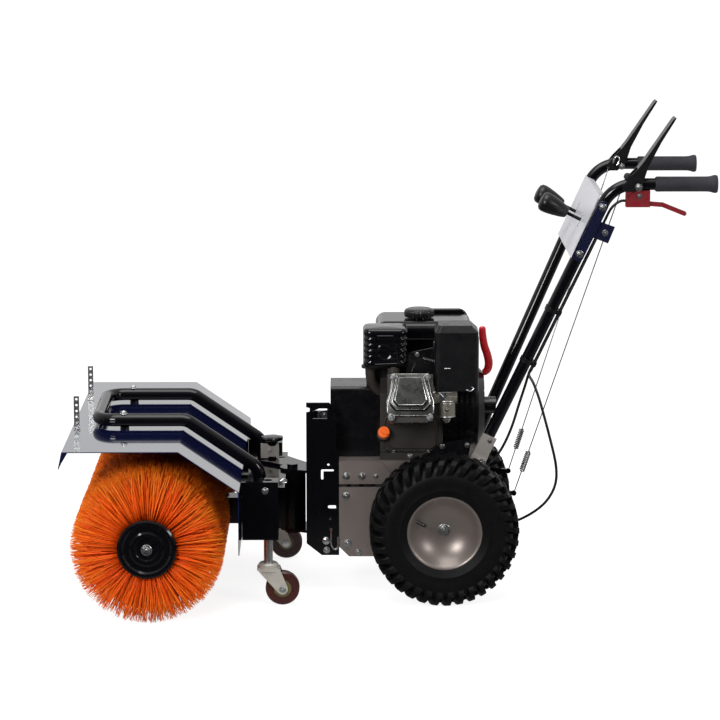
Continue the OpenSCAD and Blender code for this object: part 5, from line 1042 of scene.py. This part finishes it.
# %% Fit the pins and clips
pin_head = spun([(0, 0), (9, 0), (9.4, 2), (8.4, 4.6), (5.4, 6.6), (0, 7.4)], spot(261, 110, 119), left, 28)
spring_clip = rod(through([(249, 112.6, 146), (250, 113, 128), (249, 113.4, 112), (244, 113.6, 101),
                           (238.5, 113.4, 100), (235, 113, 108), (234.4, 112.6, 128)], 6), 2.3, 10)
piece("frame_pin", joined(pin_head, spring_clip), "chassis", zinc_plate)
ring_clip = rod(through([(368, 200, 279), (361, 200, 276), (354, 200, 280.5), (347.5, 200, 278),
                         (348, 200, 272.6), (355, 200, 271.6), (362, 200, 274.5), (368, 200, 274)], 5),
                1.4, 8)
head_seats = facing(left, (394, 233, 261, 7.5)) + facing(above, (707, 150, 416.6, 8.5))
bolted("head_bolts", "brush_head", both_sides(head_seats + facing(left, (808, 183, 390, 4.6))), ring_clip)
base_plate = upright([(37.8, 312), (4.4, 339), (-64.7, 350.5), (-56, 302.6)], 96.2, 3.0, 0.6)
piece("engine_side_plate", base_plate, "chassis", satin_black, sharp=25)
cover_plate = upright([(250.5, 384), (279, 384), (279, 404), (262, 406), (250.5, 406)], 56.4, 3.0, 0.6)
piece("belt_cover_bracket", cover_plate, "chassis", zinc_plate, sharp=25)
bolted("engine_bolts", "chassis",
       facing(above, (110, 91, 316, 6.4), (33, 91, 316, 6.4))
       + facing(left, (74, 96, 308, 6.5), (1.4, 99.2, 331, 6.0), (-54, 99.2, 334, 6.0))
       + facing((0, 0, -1), (-6, 148, 403, 9.0))
       + facing(left, (-6, 166.4, 428, 4.6), (265, 59.4, 396, 4.6), (150, 110, 266, 5.0)))
stop_line = [(0, -4), (4, -4), (4.4, 3), (7.6, 5), (8.6, 9), (7.6, 14), (4.4, 17), (0, 17.8)]
lever_stop = spun(stop_line, spot(-391, 197, 938), (-0.25, 0, 1), 24)
piece("lever_stop", lever_stop, "chassis", grip_rubber)

# %% [markdown]
# ## Panel plates
# Two navy plates tie the control panel to the handlebar tubes, and a navy bracket behind the left tube
# carries the cables. A plate is an outline that is widened from nothing, bevelled, and closed again, so that
# each is one closed surface with soft edges. It is drawn in the tube's own axes and mirrored for the other
# side. The hood's lip gets its two small corners in the same way.

# %% Cut the panel plates
def side_plate(sign):
    """Outline with round ends in the tube's front and length directions, laid on the tube's outer side."""
    ends = arc((0, 632), 11.6, 0, 180, 13) + arc((0, 508), 11.6, 180, 360, 13)
    points, quads = slab(ends, bar_foot + 13.1 * bar_side, bar_front, bar_way, bar_side, 2.6, 0.5)
    return points * np.array([1.0, sign, 1.0]), quads


cable_bracket = upright([(-329, 851), (-368.5, 836.6), (-353.8, 800.3), (-317, 815)], 188, 3.0, 0.5)
navy_plates = joined(side_plate(1), side_plate(-1), cable_bracket)
piece("navy_plates", navy_plates, "chassis", navy_plate, ["panel_plates"], sharp=25)
far_hook = rod(through([(-394, -184, 926), (-398, -172, 944), (-405, -170, 950), (-410, -170, 942),
                        (-404, -171, 930)], 5), 1.9, 8)
bolted("bracket_bolts", "chassis", facing(left, (-347, 191, 823.5, 7.0)), far_hook)
lips = [upright([(829.5, 347), (822, 383.5), (808, 383.5)], y, 2.0, 0.2) for y in (397.5, -399.5)]
piece("hood_lip_corners", joined(*lips), "brush_head", hood_lacquer, sharp=25)

# %% [markdown]
# ## The front frame
# Two upright plates, a cross plate between them and two lugs on the king pin hold the brush head. Such
# plates are cut from sheet, and a Boolean could cut the slots out of a box. Here the flat is cut into
# triangles round the holes, every triangle becomes three quads, and walls follow each outline, so the plate
# is closed and light. The left plate has an open hook above and its slots as photographed, and the right one
# ends lower. Two small plates are added that the solids lack: the front corner of the red lever box, and a
# bright bracket beside the clamp knob.

# %% Cut the front frame
def pierced(outline, holes, low, high, lying=False):
    """Plate with holes: each triangle a, b, c of the flat gives the quads a, (a+b)/2, (a+b+c)/3, (a+c)/2 and
    so on, and a wall of quads follows each outline."""
    loops = [np.asarray(loop, dtype=float) for loop in (outline, *holes)]
    flat = np.concatenate(loops)
    cut = np.array(tessellate_polygon([[Vector((x, z, 0.0)) for x, z in loop] for loop in loops]))
    a, b, c = (flat[cut[:, k]] for k in range(3))
    ab, bc, ca, mid = (a + b) / 2, (b + c) / 2, (c + a) / 2, (a + b + c) / 3
    quads = np.array([[a, ab, mid, ca], [b, bc, mid, ab], [c, ca, mid, bc]])
    quads = quads.transpose(2, 0, 1, 3).reshape(-1, 2)
    shapes = [(stood(quads, h, lying), np.arange(len(quads)).reshape(-1, 4)) for h in (low, high)]
    for loop in loops:
        fine = np.stack([loop, (loop + np.roll(loop, -1, axis=0)) / 2], axis=1).reshape(-1, 2)
        wall = np.concatenate([stood(fine, low, lying), stood(fine, high, lying)])
        shapes.append((wall, grid_quads(2, len(fine))))
    return joined(*shapes)


frame_foot = [(232, 85), (271, 85), (305, 112)]
left_outline = frame_foot + [(305, 411), (297, 413), (297, 421), (305, 423), (305, 433), (254, 433),
                             (250, 429), (250, 398), (238, 392), (238, 330), (232, 326)]
right_outline = frame_foot + [(305, 360), (290, 372), (236, 372), (232, 368)]
right_window = [(240, 120), (288, 120), (288, 262), (240, 262)]
hook_window = [(258, 397), (290, 397), (290, 414), (276, 420), (258, 420)]
corner_slot = (arc((246, 279), 2.6, -90, -270, 6) + arc((269.5, 279), 2.6, 90, 0, 6)
               + arc((269.5, 260), 2.6, 0, -180, 6) + [(266.9, 276.4)])
oval_slot = arc((240, 195.5), 3.8, 90, 270, 8) + arc((253.5, 195.5), 3.8, -90, 90, 8)
round_holes = [arc(at, 2.9, 0, 330, 12) for at in ((255.7, 292), (251.9, 169), (251.9, 146))]
king, lug_low, lug_top, lug_thick, pin_r = (338, 0), 120, 258.4, 6, 12
lug_near, lug_far = [(300, -45), (305, -45)], [(305, 45), (300, 45)]
lug_outline = lug_near + arc(king, 28, -76, 76, 20) + lug_far
sector_outline = lug_near + arc(king, 117, -83, -41, 16) + arc(king, 28, -41, 76, 16) + lug_far
slot_ends = [arc(king, 102, angle, angle, 1)[0] for angle in (-47, -77)]
sector_slot = (arc(king, 96.4, -77, -47, 14)[1:-1] + arc(slot_ends[0], 5.6, 133, -47, 9)
               + arc(king, 107.6, -47, -77, 14)[1:-1] + arc(slot_ends[1], 5.6, -77, -257, 9))
# the cross plate is cut like a side plate, and turned across the frame below by trading x and y
cross_points, cross_quads = pierced([(-105, lug_low), (105, lug_low), (105, 290), (-105, 290)], [], 300, 305)
pin_l = lug_top + 13 - lug_low
pin_line = [(0, -7), (17, -7), (17, 0), (pin_r, 0), (pin_r, pin_l), (0, pin_l)]
king_pin = spun(pin_line, spot(*king, lug_low), above, 24)
front_frame = joined(pierced(left_outline, [hook_window, corner_slot, oval_slot, *round_holes], 105, 110),
                     pierced(right_outline, [right_window], -110, -105),
                     ((cross_points - axle)[:, [1, 0, 2]] + axle, cross_quads),
                     pierced(lug_outline, [], lug_low, lug_low + lug_thick, lying=True),
                     pierced(sector_outline, [sector_slot], lug_top, lug_top + lug_thick, lying=True),
                     king_pin)
piece("slotted_front_frame", front_frame, "chassis", black_paint, ["front_frame"], sharp=30.0)
box_corner = upright([(-410.5, 916.6), (-390, 902.4), (-390, 916.6)], 186, 22, 0.6)
piece("red_box_corner", box_corner, "chassis", dark_red)
clamp_plate = upright([(370, 266), (412, 266), (412, 300), (370, 300)], -84, 3, 0.4)
clamp_bracket = joined(clamp_plate, bolts(facing(left, (391, -81, 285, 5.5))))
piece("clamp_bracket", clamp_bracket, "brush_head", bracket_paint, sharp=25)
